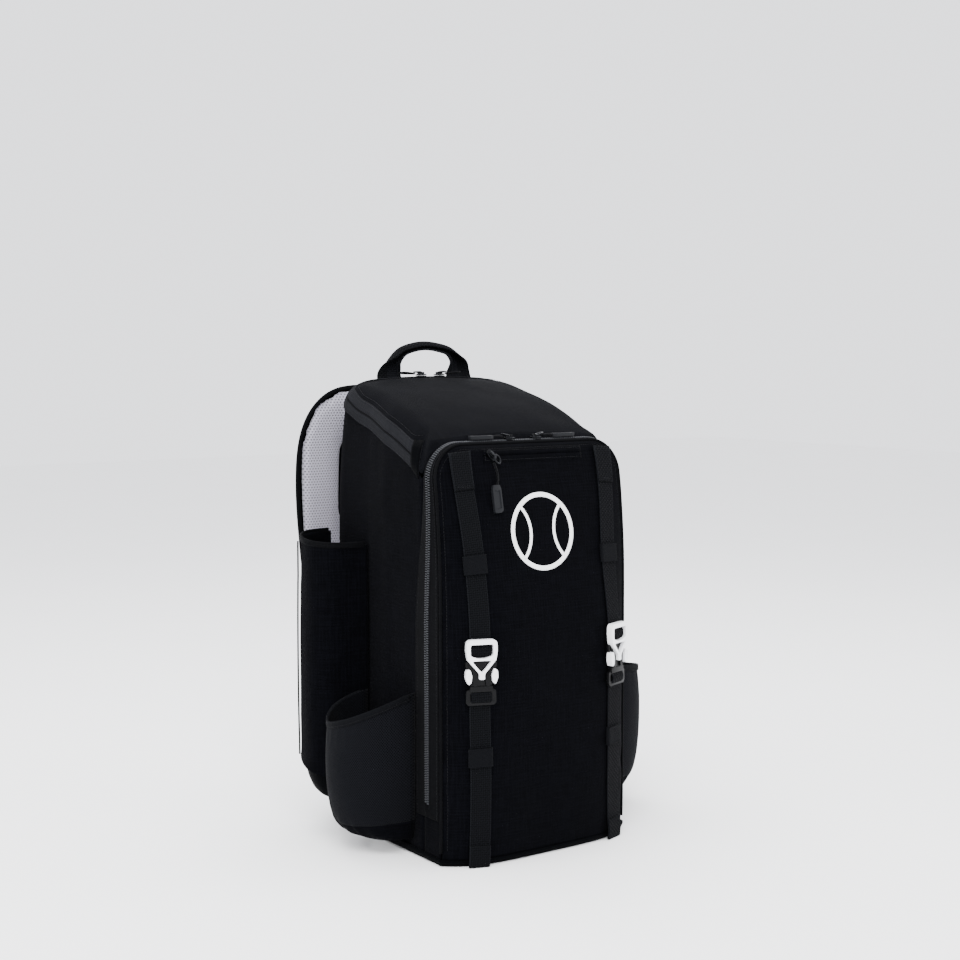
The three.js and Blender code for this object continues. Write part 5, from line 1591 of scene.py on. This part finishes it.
def sleeve_plan(size, count=61):
    s = sizes()
    order = np.linspace(0, 9, count)
    out, along = SLEEVE_OUT(order), SLEEVE_ALONG(order)
    wall = s.back_width / 2 + 0.4 * MM
    middle = SIDE_STEP + s.sleeve_length / 2
    x = wall + np.maximum(0, out * s.sleeve_depth * size)
    y = middle + (along * 2 - 1) * s.sleeve_length / 2 * mix(1, size, 0.5)
    return x, y, order / 9


def sleeve_heights(y):
    s = sizes()
    slope = np.clip((y - SIDE_STEP) / s.sleeve_length, 0, 1)
    return SLEEVE_FOOT + SLEEVE_FOOT_RISE * slope, s.sleeve_top + SLEEVE_TOP_RISE * slope


def build_sleeves():
    for word, side in SIDES:
        def wall(shares, size_of):
            rows, uv = [], []
            for share in shares:
                x, y, turn = sleeve_plan(float(size_of(share)))
                foot, top = sleeve_heights(y)
                z = mix(foot, top, share)
                point = np.stack([x, y, z], -1)
                relief = 2.0 * MM * lumps(point * np.array([1, 1, 0.4]), 46 * MM, 21 + side)
                relief = relief + 0.8 * MM * lumps(point * np.array([1, 1, 0.6]), 18 * MM, 25)
                relief = relief - 1.0 * MM + 1.2 * MM * bump(share - 1, 0.014)
                relief = relief * smooth(0, 0.1, turn) * smooth(1, 0.86, turn)
                normal = unit(np.stack([np.gradient(y), -np.gradient(x)], axis=-1))
                rows.append(np.stack([side * (x + normal[:, 0] * relief), y + normal[:, 1] * relief, z], -1))
                uv.append(np.stack([side * turn * 0.16, z], -1))
            return np.stack(rows), np.stack(uv)

        centre = (side * 0.14, 0.08, 0.2)
        grid, uv = wall(np.linspace(0, 0.17, 16), lambda share: SLEEVE_SIZE(share) * 0.93)
        cup = sheet_piece(f"sleeve_cup_{word}", grid, inside=centre, wall=1.6 * MM, uv=uv, floor=True)
        dress(cup, "coated_cloth")
        grid, uv = wall(np.r_[0.096, 0.098, np.linspace(0.1, 0.95, 56), np.linspace(0.95, 1, 6)[1:]],
                        lambda share: max(SLEEVE_SIZE(share), 0.985) + 0.012 * bump(share - 0.1, 0.012))
        piece = sheet_piece(f"sleeve_shell_{word}", grid, inside=centre, wall=2.0 * MM, uv=uv)
        dress(piece, "body_cloth", [f"bat_sleeve_{word}"])
        line, out = [], []
        for share in np.linspace(0.11, 0.985, 90):
            x, y, turn = sleeve_plan(max(float(SLEEVE_SIZE(share)), 0.985))
            at = 36
            foot, top = sleeve_heights(y[at])
            flat = unit(np.array([(y[at + 1] - y[at - 1]) * side, -(x[at + 1] - x[at - 1])]))
            direction = np.array([flat[0], flat[1], 0])
            line.append(np.array([side * x[at], y[at], mix(foot, top, share)]) + direction * 0.3 * MM)
            out.append(direction)
        line, out = np.array(line), np.array(out)
        trim_piece(f"sleeve_binding_{word}", line, out, rounded_section(9 * MM, 1.9 * MM),
                   replaces=[f"bat_sleeve_binding_{word}"])
        across = unit(np.cross(out, np.gradient(line, axis=0)))
        stitches(f"sleeve_stitches_{word}", [(line + out * 1.95 * MM + across * 0.6 * MM, out)],
                 "pale_thread", pitch=4.6 * MM, length=3.3 * MM, thread=0.9 * MM)
        x, y, turn = sleeve_plan(0.96, 90)
        foot, top = sleeve_heights(y)
        lip = np.stack([side * x, y, top + 0.4 * MM], -1)[2:-2]
        facing = unit(np.stack([side * np.gradient(y), -np.gradient(x), 0 * x], -1))[2:-2]
        trim_piece(f"sleeve_mouth_{word}", lip, facing, rounded_section(7 * MM, 3.0 * MM, -2.2 * MM))


# Straps and buckles

def strap_x(side, height):
    s = sizes()
    return side * (s.front_width / 2 - s.strap_inset + STRAP_FLARE * smooth(UPPER_KEEPER, STRAP_TOP, height))


def strap_lift(height):
    return 3.0 * MM * smooth(32 * MM, 8 * MM, height)


def strap_line(side, top, bottom, lift, spacing=3 * MM):
    height = np.linspace(top, bottom, max(3, int(abs(top - bottom) / spacing)))
    base = strap_lift(height)
    sway = 0.5 * MM * np.sin(height / 0.031 + side)
    x = strap_x(side, height) + sway
    at, out = on_front(x, height, base + lift)
    return at, out


def build_straps():
    s = sizes()
    for word, side in SIDES:
        line, out = strap_line(side, WEBBING_TOP, s.buckle_height + 6 * MM, 0.5 * MM)
        line = line + out * (0.5 * MM * (1 + np.sin(line[:, 2] / 0.018))[:, None]) * 0.6
        webbing_piece(f"webbing_upper_{word}", line, out, s.webbing, [f"strap_upper_{word}"])
        line, out = strap_line(side, s.buckle_height - 8 * MM, 1.2 * MM, 0.5 * MM)
        line = line + out * (0.5 * MM * (1 + np.sin(line[:, 2] / 0.016 + 1))[:, None]) * 0.6
        webbing_piece(f"webbing_lower_{word}", line, out, s.webbing, [f"strap_lower_{word}"])
        line, out = strap_line(side, 24 * MM, 1.2 * MM, 2.3 * MM)
        webbing_piece(f"webbing_fold_{word}", line, out, s.webbing + 0.6 * MM)
        line, out = strap_line(side, WEBBING_TOP + 0.5 * MM, 0.401, 2.1 * MM)
        wide = np.linspace(1.16, 1.02, len(line))
        webbing_piece(f"webbing_tab_{word}", line, out, s.webbing, wide=wide)
        rows = []
        for height in (0.404, 0.4055):
            x = strap_x(side, height) + np.linspace(-9.5, 9.5, 12) * MM
            at, out = on_front(x, np.full(12, height), 3.95 * MM)
            rows.append((at, out))
        stitches(f"tab_stitches_{word}", rows, pitch=2.6 * MM, length=2.0 * MM, thread=0.6 * MM)
        for level, keeper in ((UPPER_KEEPER, "upper"), (LOWER_KEEPER, "lower")):
            line, out = strap_line(side, level + 10 * MM, level - 10 * MM, -0.1 * MM, 1 * MM)
            width = s.webbing + 4.2 * MM
            middle = np.linspace(-1, 1, len(line))
            thick = 1 + 0.12 * (np.abs(middle) > 0.8)
            band = band_piece(f"{keeper}_keeper_band_{word}", line, out,
                              rounded_section(width, 4.4 * MM), 1.0, thick)
            dress(band, "elastic", [f"{keeper}_keeper_{word}"])


def buckle_halves():
    """White frame and black prong half of a side-release buckle, drawn flat, 70 mm long."""
    def pair(name, corners, thickness, edge):
        return [plate(name, [(side * x, y, radius) for x, y, radius in corners][::side], thickness, edge)
                for side in (-1, 1)]

    slot = [(-12.4, 30.0, 2.4), (-12.4, 18.0, 3.4), (-4, 15.2, 5), (4, 15.2, 5), (12.4, 18.0, 3.4),
            (12.4, 30.0, 2.4)]
    eye = [(-10.8, 12.6, 1.2), (-3.4, 3.6, 4), (0, 0.6, 1.0), (3.4, 3.6, 4), (10.8, 12.6, 1.2), (0, 12.9, 9)]
    frame_half = plate("white_frame", mirrored([
        (16.4, 35, 6.0), (16.9, 24, 6), (15.4, 13.6, 3.4), (10.4, 7.6, 5), (3.4, -0.6, 3),
        (2.8, -3.4, 2), (3.2, -7.0, 2.4)]), 7, 1.2, [slot, eye])
    lobes = pair("lobe", [(13.2, 4.6, 2.4), (17.0, 2.4, 3.4), (17.6, -5, 5), (14.8, -12.6, 2.6),
                          (11.6, -10, 3), (10.8, -3, 4)], 6.8, 1.3)
    white = join("white_frame", [frame_half, *lobes])
    plug = plate("black_prongs", mirrored([
        (13.0, 11.8, 2), (17.2, 11.6, 2.4), (16.9, 6.0, 3), (14.2, 2.0, 3), (14.2, -9, 3), (9.6, -16.2, 3),
        (16.2, -19.4, 2), (16.6, -32, 3), (14.4, -35, 3)]), 3.4, 0.9,
        [[(-11.8, -21.6, 1.4), (-11.8, -31.2, 1.4), (11.8, -31.2, 1.4), (11.8, -21.6, 1.4)]])
    prongs = pair("prong", [(14.2, 9.4, 2), (14.6, 7, 2), (9.8, 2, 5), (9.6, -6, 4), (9.4, -14.4, 2),
                            (4.6, -14.4, 2), (4.6, -6, 2), (4.9, -1.4, 3)], 5.2, 1.0)
    waist = plate("waist", [(-12.4, -14.6, 1.6), (-12.4, -20.6, 1.6), (12.4, -20.6, 1.6),
                            (12.4, -14.6, 1.6)], 4.6, 0.9)
    return white, join("black_prongs", [plug, waist, *prongs])


def build_buckles():
    s = sizes()
    white, black = buckle_halves()
    for word, side in SIDES:
        at, out = on_front(strap_x(side, np.array([s.buckle_height])), s.buckle_height, 2.6 * MM)
        across = unit(np.cross((0, 0, 1), out[0]))
        upward = np.cross(out[0], across)
        frame_half = copy_piece(white, f"buckle_frame_{word}")
        set_in_place(frame_half, at[0] + out[0] * 0.6 * MM, across, upward, out[0])
        dress(frame_half, "white_plastic", [f"buckle_socket_{word}"], sharp=35)
        prongs = copy_piece(black, f"buckle_prongs_{word}")
        set_in_place(prongs, at[0], across, upward, out[0])
        dress(prongs, "black_plastic", [f"buckle_plug_{word}"], sharp=35)
        for name, low, high, crest in (("upper", 14.0, 36.0, 22.6), ("lower", -38.0, -19.0, -26.6)):
            marks = np.linspace(low, high, 34) * MM
            over = np.sqrt(np.clip(1 - ((marks - crest * MM) / (6.4 * MM)) ** 2, 0, 1))
            line = at[0] + upward * marks[:, None] + out[0] * ((over * 5.6 - 1.4) * MM)[:, None]
            facing = np.broadcast_to(out[0], line.shape)
            webbing_piece(f"webbing_{name}_turn_{word}", line, facing, 22 * MM, thickness=1.6 * MM)
    for pattern in (white, black):
        bpy.data.objects.remove(pattern)


# Carrying

SHOULDER_ROWS = [
    (0, 0.34, 0.02, 0.72), (-0.01, 0.54, 0.5, 0.85), (0.02, 0.76, 0.86, 0.96), (0.12, 0.9, 1, 1),
    (0.3, 0.94, 1, 1), (0.55, 0.92, 0.86, 0.94), (0.8, 0.88, 0.66, 0.84), (1, 0.84, 0.52, 0.7),
]


def shoulder_line(side, count=110):
    s = sizes()
    order = np.arange(8)
    readers = [curve(*[(index, row[column]) for index, row in zip(order, SHOULDER_ROWS)])
               for column in range(4)]
    at = np.linspace(0, 7, count)
    drop, across, bow, wide = (reader(at) for reader in readers)
    height = mix(SHOULDER_TOP, SHOULDER_FOOT, drop)
    start = float(back_depth(SHOULDER_TOP - 0.032 * 0.72)) + 0.8 * MM
    rest = np.where(drop > 0, back_depth(height) + 11.8 * MM, start)
    rest = mix(start, rest, smooth(0, 2.5, at))
    y = mix(rest, s.back_wall + 29 * MM, bow)
    return np.stack([side * across * s.back_width / 2, y, height], -1), wide


def pad_section(width, thickness, steps=26):
    """Crowned pad with thin sewn edges."""
    angle = np.linspace(-math.pi / 2, math.pi / 2, steps)
    u = np.sin(angle) * width / 2
    crown = np.clip(1 - (np.abs(u) / (width / 2)) ** 3.2, 0, 1) ** 0.62
    top = np.stack([u, thickness * (0.34 + 0.66 * crown)], 1)
    bottom = np.stack([u, thickness * (0.34 - 0.34 * crown)], 1)[::-1]
    return np.vstack([top, bottom[1:-1]])[::-1]


def puff(piece, cap):
    """Fills a pad by cloth simulation, with each point's movement capped."""
    activate(piece)
    remesh = piece.modifiers.new("even", "REMESH")
    remesh.mode = "VOXEL"
    remesh.voxel_size = PAD_VOXEL
    apply_modifiers(piece)
    rest = places(piece)
    cloth = piece.modifiers.new("air", "CLOTH")
    cloth.settings.use_pressure = True
    cloth.settings.uniform_pressure_force = PAD_PRESSURE
    cloth.settings.effector_weights.gravity = 0
    cloth.settings.quality = 4
    cloth.point_cache.frame_start = 1
    cloth.point_cache.frame_end = PAD_FRAMES
    for number in range(1, PAD_FRAMES + 1):
        bpy.context.scene.frame_set(number)
    apply_modifiers(piece)
    moved = places(piece) - rest
    far = np.linalg.norm(moved, axis=1, keepdims=True)
    moved = moved * np.minimum(1, cap / np.maximum(far, 1e-9))
    piece.data.vertices.foreach_set("co", (rest + moved).ravel())
    bpy.context.scene.frame_set(1)
    finer = piece.modifiers.new("finer", "SUBSURF")
    finer.levels = 1
    finer.render_levels = 1
    apply_modifiers(piece)


def build_shoulders():
    for word, side in SIDES:
        line, wide = shoulder_line(side)
        section = pad_section(SHOULDER_WIDTH, PAD_THICKNESS)
        ends = smooth(0, 5, np.minimum(np.arange(len(line)), np.arange(len(line))[::-1]))
        pad = band_piece(f"shoulder_pad_{word}", line, (0, 1, 0), section, wide, mix(0.7, 1, ends))
        puff(pad, 1.6 * MM)
        dress(pad, "air_mesh", [f"shoulder_strap_{word}"])
        pad.data.materials.append(FINISHES["body_cloth"])
        across, out = frames_along(line, (0, 1, 0))
        outer = []
        for u in np.linspace(-0.94, 0.94, 17):
            crown = max(0.0, 1 - abs(u) ** 3.2) ** 0.62
            lift = (0.36 + 0.66 * crown) * 10.4 * MM
            outer.append(line + across * (u * 31 * MM * wide)[:, None] + out * lift)
        cover = sheet_piece(f"shoulder_cover_{word}", np.stack(outer), wall=0.8 * MM)
        dress(cover, "body_cloth")
        edges = [line + across * (hand * 30.5 * MM * wide)[:, None] + out * 3.6 * MM for hand in (-1, 1)]
        loop = np.vstack([edges[0], edges[1][::-1]])
        loop = np.vstack([loop, loop[:1]])
        trim_piece(f"shoulder_binding_{word}", loop, np.vstack([out, out[::-1], out[:1]]),
                   rounded_section(5.5 * MM, 4.2 * MM, -2.1 * MM))
        build_lower_strap(word, side, line[-1])


def build_lower_strap(word, side, end):
    s = sizes()
    foot_x = side * (88 * MM + LOWER_WEBBING / 2 + 0.8 * MM)
    rest = s.back_wall + 0.6 * MM
    stops = np.array([
        end + np.array([0, 11.6 * MM, 26 * MM]),
        end + np.array([0, 9.1 * MM, -4 * MM]),
        [mix(end[0], foot_x, 0.5), mix(end[1] + 4 * MM, rest, 0.5), mix(end[2], LOWER_FOOT, 0.5)],
        [foot_x, rest, LOWER_FOOT],
    ])
    order = np.linspace(0, 3, 60)
    line = np.stack([curve(*[(index, stops[index, axis]) for index in range(4)])(order)
                     for axis in range(3)], -1)
    webbing_piece(f"lower_webbing_{word}", line, (0, 1, 0), LOWER_WEBBING, [f"lower_strap_{word}"])
    slots = [[(-13, y - 1.8, 1), (13, y - 1.8, 1), (13, y + 1.8, 1), (-13, y + 1.8, 1)] for y in (-3.8, 3.8)]
    ladder = plate(f"ladder_lock_{word}", [(-16.5, -9, 2.5), (16.5, -9, 2.5), (15.5, 9, 2.5),
                                           (-15.5, 9, 2.5)], 3, 0.8, slots, steps=4)
    place = end + np.array([0, 9.9 * MM + 1.6 * MM + 1.8 * MM, 12 * MM])
    set_in_place(ladder, place, (-1, 0, 0), (0, 0, 1), (0, 1, 0))
    dress(ladder, "black_plastic", [f"adjuster_{word}"], sharp=35)


def build_back():
    height = np.linspace(BACK_PAD_FOOT, BACK_PAD_TOP, 120)
    line = np.stack([0 * height, back_depth(height) + 0.9 * MM, height], -1)
    edge = smooth(0, 0.05, np.minimum(np.linspace(0, 1, 120), np.linspace(1, 0, 120)))
    section = pad_section(BACK_PAD_WIDTH, PAD_THICKNESS, 60)
    pad = band_piece("back_pad", line, (0, 1, 0), section, mix(0.93, 1, edge), mix(0.35, 1, edge))
    puff(pad, 1.2 * MM)
    points = places(pad)
    x, y, z = points.T
    outer = smooth(back_depth(z) + 3 * MM, back_depth(z) + 7 * MM, y)
    outer = outer * smooth(82 * MM, 70 * MM, np.abs(x))
    outer = outer * smooth(38 * MM, 52 * MM, z) * smooth(442 * MM, 428 * MM, z)
    channel = bump(x, 9 * MM) + bump(np.abs(x) - 50 * MM, 2.5 * MM) * 0.55
    level = sum(bump(z - channel_height, 3 * MM) for channel_height in PAD_CHANNELS)
    points[:, 1] -= outer * np.minimum(1, channel + level * (np.abs(x) > 12 * MM)) * 4.2 * MM
    pad.data.vertices.foreach_set("co", points.ravel())
    pad.data.update()
    dress(pad, "air_mesh", ["back_panel"])
    half = 86.5 * MM
    corner = [(-half * 0.95, 36), (-half, 60), (-half, 420), (-half * 0.95, 444), (half * 0.95, 444),
              (half, 420), (half, 60), (half * 0.95, 36)]
    loop = np.array(rounded_loop([(x, z * MM, 12 * MM) for x, z in corner], 6))
    fine = []
    for index in range(len(loop)):
        a, b = loop[index], loop[(index + 1) % len(loop)]
        steps = max(1, int(np.linalg.norm(b - a) / (5 * MM)))
        fine += [a + (b - a) * step / steps for step in range(steps)]
    fine = np.array(fine + [fine[0]])
    line = np.stack([fine[:, 0], back_depth(fine[:, 1]) + 2.6 * MM, fine[:, 1]], -1)
    trim_piece("back_binding", line, (0, 1, 0), rounded_section(6 * MM, 4 * MM, -2 * MM))


HANDLE_ROWS = [
    (-1, 0, 1), (-1, 0.24, 0.98), (-0.96, 0.46, 0.78), (-0.87, 0.66, 0.46), (-0.66, 0.86, 0.3),
    (-0.3, 0.97, 0.26), (0, 1, 0.25), (0.3, 0.97, 0.26), (0.66, 0.88, 0.3), (0.87, 0.7, 0.46),
    (0.96, 0.5, 0.78), (1, 0.26, 0.98), (1, 0, 1),
]


def build_handle():
    """Carry handle: a flat strip at each foot that rolls up into a tube over the arch."""
    s = sizes()
    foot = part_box("top_handle")[0][2]
    readers = [curve(*[(index, row[column]) for index, row in enumerate(HANDLE_ROWS)]) for column in range(3)]
    across, rise, wide = (reader(np.linspace(0, 12, 130)) for reader in readers)
    line = np.stack([across * s.handle_span / 2, np.full_like(across, s.handle_back),
                     foot + (s.handle_top - foot) * rise], -1)
    side, out = frames_along(line, (0, 1, 0))
    rolled = np.clip((1 - wide) / 0.75, 0, 1)[:, None]
    sweep = mix(0.3, 5.5, rolled)
    radius = s.handle_width / sweep
    angle = sweep / 2 * np.linspace(-1, 1, 29)
    a = radius * np.sin(angle) * mix(1, 0.5, rolled)
    b = radius * (np.cos(angle) - 1 + rolled) * mix(1, 0.8, rolled)
    turn = math.radians(26) * rolled
    a, b = a * np.cos(turn) - b * np.sin(turn), a * np.sin(turn) + b * np.cos(turn)
    grid = line[:, None] + side[:, None] * a[..., None] + out[:, None] * b[..., None]
    crease = lumps(grid * np.array([1, 1, 1.4]), 9 * MM, 31)
    grid = grid + out[:, None] * (0.5 * MM * crease * (0.3 + rolled))[..., None]
    band = sheet_piece("carry_handle", grid, wall=1.9 * MM)
    dress(band, "webbing", ["top_handle"])
    rows = []
    for column in (3, 25):
        rows.append((grid[2:26, column] - out[2:26] * 0.2 * MM, -out[2:26]))
        rows.append((grid[-26:-2, column] - out[-26:-2] * 0.2 * MM, -out[-26:-2]))
    stitches("handle_stitches", rows, thread=0.6 * MM)


# Print

def build_ball():
    """Ball outline with its two curved seams, as a thin film on the cloth."""
    s = sizes()
    radius = s.ball / 2
    line = BALL_LINE
    pieces = []

    def ribbon(points, width, closed):
        points = np.array(points)
        along = np.gradient(points, axis=0)
        if closed:
            along[0] = along[-1] = points[1] - points[-2]
        normal = unit(np.stack([-along[:, 1], along[:, 0]], axis=1))
        rows = []
        for share, lift in ((-0.5, 0.1), (-0.5, 0.42), (-0.25, 0.45), (0, 0.45), (0.25, 0.45),
                            (0.5, 0.42), (0.5, 0.1)):
            flat = points + normal * share * width
            rows.append(on_front(flat[:, 0], flat[:, 1] + BALL_HEIGHT, lift * MM)[0])
        grid = np.stack(rows)
        made = sheet_piece("film", grid, inside=(0, 0, 0.35))
        pieces.append(made)

    angle = np.linspace(0, 2 * math.pi, 121)
    around = np.stack([np.cos(angle), np.sin(angle)], 1)
    ribbon((radius - line / 2) * around, line, True)
    for hand in (-1, 1):
        offset, arc = radius * 1.32, radius * 0.95
        reach = (radius - line * 0.6) ** 2
        cross = (reach - arc ** 2 + offset ** 2) / (2 * offset)
        edge = math.atan2(math.sqrt(reach - cross ** 2), offset - cross)
        turn = np.linspace(math.pi - edge, math.pi + edge, 50)
        ribbon(np.stack([hand * (offset + arc * np.cos(turn)), arc * np.sin(turn)], 1), line * 0.7, False)
    film = join("ball_film", pieces)
    dress(film, "white_print", ["ball_print"])


# Stage

def area_light(name, place, target, size, power):
    light = bpy.data.lights.new(name, "AREA")
    light.shape = "RECTANGLE"
    light.size, light.size_y = size
    light.energy = power
    lamp = bpy.data.objects.new(name, light)
    lamp.location = place
    direction = Vector(target) - Vector(place)
    lamp.rotation_euler = direction.to_track_quat("-Z", "Y").to_euler()
    bpy.context.scene.collection.objects.link(lamp)


def build_stage():
    deselect()
    bpy.ops.mesh.primitive_plane_add(size=12, location=(0, 0, -0.0002))
    floor = bpy.context.object
    floor.name = "studio_floor"
    finish = Finish("pale_floor", 0.9)
    place = finish.solid_place()[0]
    cloud = finish.noise(place, 3.0, 3)
    finish.paint(finish.blend(cloud, (0.93, 0.93, 0.93), (0.96, 0.96, 0.96)))
    finish.rough(cloud * 0.1 + 0.82)
    floor.data.materials.append(finish.material)
    camera = bpy.data.cameras.new("photo_view")
    camera.lens = 60
    camera.sensor_width = 36
    eye = bpy.data.objects.new("photo_view", camera)
    eye.location = (-1.046, -1.498, 0.549)
    eye.rotation_euler = (math.radians(90 - 4.645), 0, math.radians(-35))
    bpy.context.scene.collection.objects.link(eye)
    bpy.context.scene.camera = eye
    world = bpy.data.worlds.new("studio")
    world.use_nodes = True
    world.node_tree.nodes["Background"].inputs[0].default_value = (0.95, 0.96, 1.0, 1)
    world.node_tree.nodes["Background"].inputs[1].default_value = 2.2
    bpy.context.scene.world = world
    area_light("key", (-1.1, -1.5, 1.9), (0, 0, 0.25), (1.4, 1.4), 90)
    area_light("left", (-2.0, 0.3, 1.0), (0, 0, 0.25), (0.9, 1.8), 26)
    area_light("right", (1.8, -1.0, 0.9), (0, 0, 0.25), (0.8, 1.8), 24)
    area_light("top", (0.1, 0.5, 2.0), (0, 0, 0.3), (1.6, 1.6), 40)


# Operators

class Step:
    """What every step does: runs its builders in order."""

    def execute(self, context):
        for build in self.builds:
            build()
        return {"FINISHED"}


class BACKPACK_OT_finishes(Step, bpy.types.Operator):
    """Mix the bag's materials"""
    bl_idname = "backpack.finishes"
    bl_label = "Materials"
    builds = (build_finishes,)


class BACKPACK_OT_stage(Step, bpy.types.Operator):
    """Set the floor, the lights and the camera"""
    bl_idname = "backpack.stage"
    bl_label = "Stage"
    builds = (build_stage,)


class BACKPACK_OT_body(Step, bpy.types.Operator):
    """Sew the main compartment"""
    bl_idname = "backpack.body"
    bl_label = "Main compartment"
    builds = (build_body,)


class BACKPACK_OT_base(Step, bpy.types.Operator):
    """Sew the coated base tray"""
    bl_idname = "backpack.base"
    bl_label = "Base"
    builds = (build_base,)


class BACKPACK_OT_lid(Step, bpy.types.Operator):
    """Sew the domed lid"""
    bl_idname = "backpack.lid"
    bl_label = "Lid"
    builds = (build_lid,)


class BACKPACK_OT_front(Step, bpy.types.Operator):
    """Sew the front compartment and its piping"""
    bl_idname = "backpack.front"
    bl_label = "Front compartment"
    builds = (build_front,)


class BACKPACK_OT_zips(Step, bpy.types.Operator):
    """Lay the zips of the front, the lid and the small pocket"""
    bl_idname = "backpack.zips"
    bl_label = "Zips"
    builds = (build_front_zip, build_lid_zip, build_pocket_zip)


class BACKPACK_OT_sliders(Step, bpy.types.Operator):
    """Put on the sliders, cords and grips"""
    bl_idname = "backpack.sliders"
    bl_label = "Sliders"
    builds = (build_sliders,)


class BACKPACK_OT_pockets(Step, bpy.types.Operator):
    """Sew the bottle pockets"""
    bl_idname = "backpack.pockets"
    bl_label = "Bottle pockets"
    builds = (build_pockets,)


class BACKPACK_OT_sleeves(Step, bpy.types.Operator):
    """Sew the bat sleeves"""
    bl_idname = "backpack.sleeves"
    bl_label = "Bat sleeves"
    builds = (build_sleeves,)


class BACKPACK_OT_straps(Step, bpy.types.Operator):
    """Lay the front straps and their keepers"""
    bl_idname = "backpack.straps"
    bl_label = "Front straps"
    builds = (build_straps,)


class BACKPACK_OT_buckles(Step, bpy.types.Operator):
    """Mould the buckles"""
    bl_idname = "backpack.buckles"
    bl_label = "Buckles"
    builds = (build_buckles,)


class BACKPACK_OT_back(Step, bpy.types.Operator):
    """Pad the back panel"""
    bl_idname = "backpack.back"
    bl_label = "Back panel"
    builds = (build_back,)


class BACKPACK_OT_shoulders(Step, bpy.types.Operator):
    """Pad the shoulder straps and hang their lower webbing"""
    bl_idname = "backpack.shoulders"
    bl_label = "Shoulder straps"
    builds = (build_shoulders,)


class BACKPACK_OT_handle(Step, bpy.types.Operator):
    """Fold the carry handle"""
    bl_idname = "backpack.handle"
    bl_label = "Handle"
    builds = (build_handle,)


class BACKPACK_OT_ball(Step, bpy.types.Operator):
    """Print the ball on the front"""
    bl_idname = "backpack.ball"
    bl_label = "Ball print"
    builds = (build_ball,)


STEPS = (
    BACKPACK_OT_finishes, BACKPACK_OT_stage, BACKPACK_OT_body, BACKPACK_OT_base, BACKPACK_OT_lid,
    BACKPACK_OT_front, BACKPACK_OT_zips, BACKPACK_OT_sliders, BACKPACK_OT_pockets, BACKPACK_OT_sleeves,
    BACKPACK_OT_straps, BACKPACK_OT_buckles, BACKPACK_OT_back, BACKPACK_OT_shoulders,
    BACKPACK_OT_handle, BACKPACK_OT_ball,
)


class BACKPACK_PT_panel(bpy.types.Panel):
    """Lists the steps that make the bag"""
    bl_idname = "BACKPACK_PT_panel"
    bl_label = "Bat backpack"
    bl_space_type = "VIEW_3D"
    bl_region_type = "UI"
    bl_category = "Backpack"

    def draw(self, context):
        for step in STEPS:
            self.layout.operator(step.bl_idname)
        for group in (context.scene.backpack_sizes, context.scene.backpack_look):
            box = self.layout.box()
            for name in group.__annotations__:
                box.prop(group, name)


CLASSES = (BackpackSizes, BackpackLook, *STEPS, BACKPACK_PT_panel)


def register():
    for item in CLASSES:
        bpy.utils.register_class(item)
    bpy.types.Scene.backpack_sizes = bpy.props.PointerProperty(type=BackpackSizes)
    bpy.types.Scene.backpack_look = bpy.props.PointerProperty(type=BackpackLook)


def unregister():
    del bpy.types.Scene.backpack_look
    del bpy.types.Scene.backpack_sizes
    for item in reversed(CLASSES):
        bpy.utils.unregister_class(item)


def main():
    register()
    for step in STEPS:
        group, name = step.bl_idname.split(".")
        getattr(getattr(bpy.ops, group), name)()


if __name__ == "__main__":
    main()
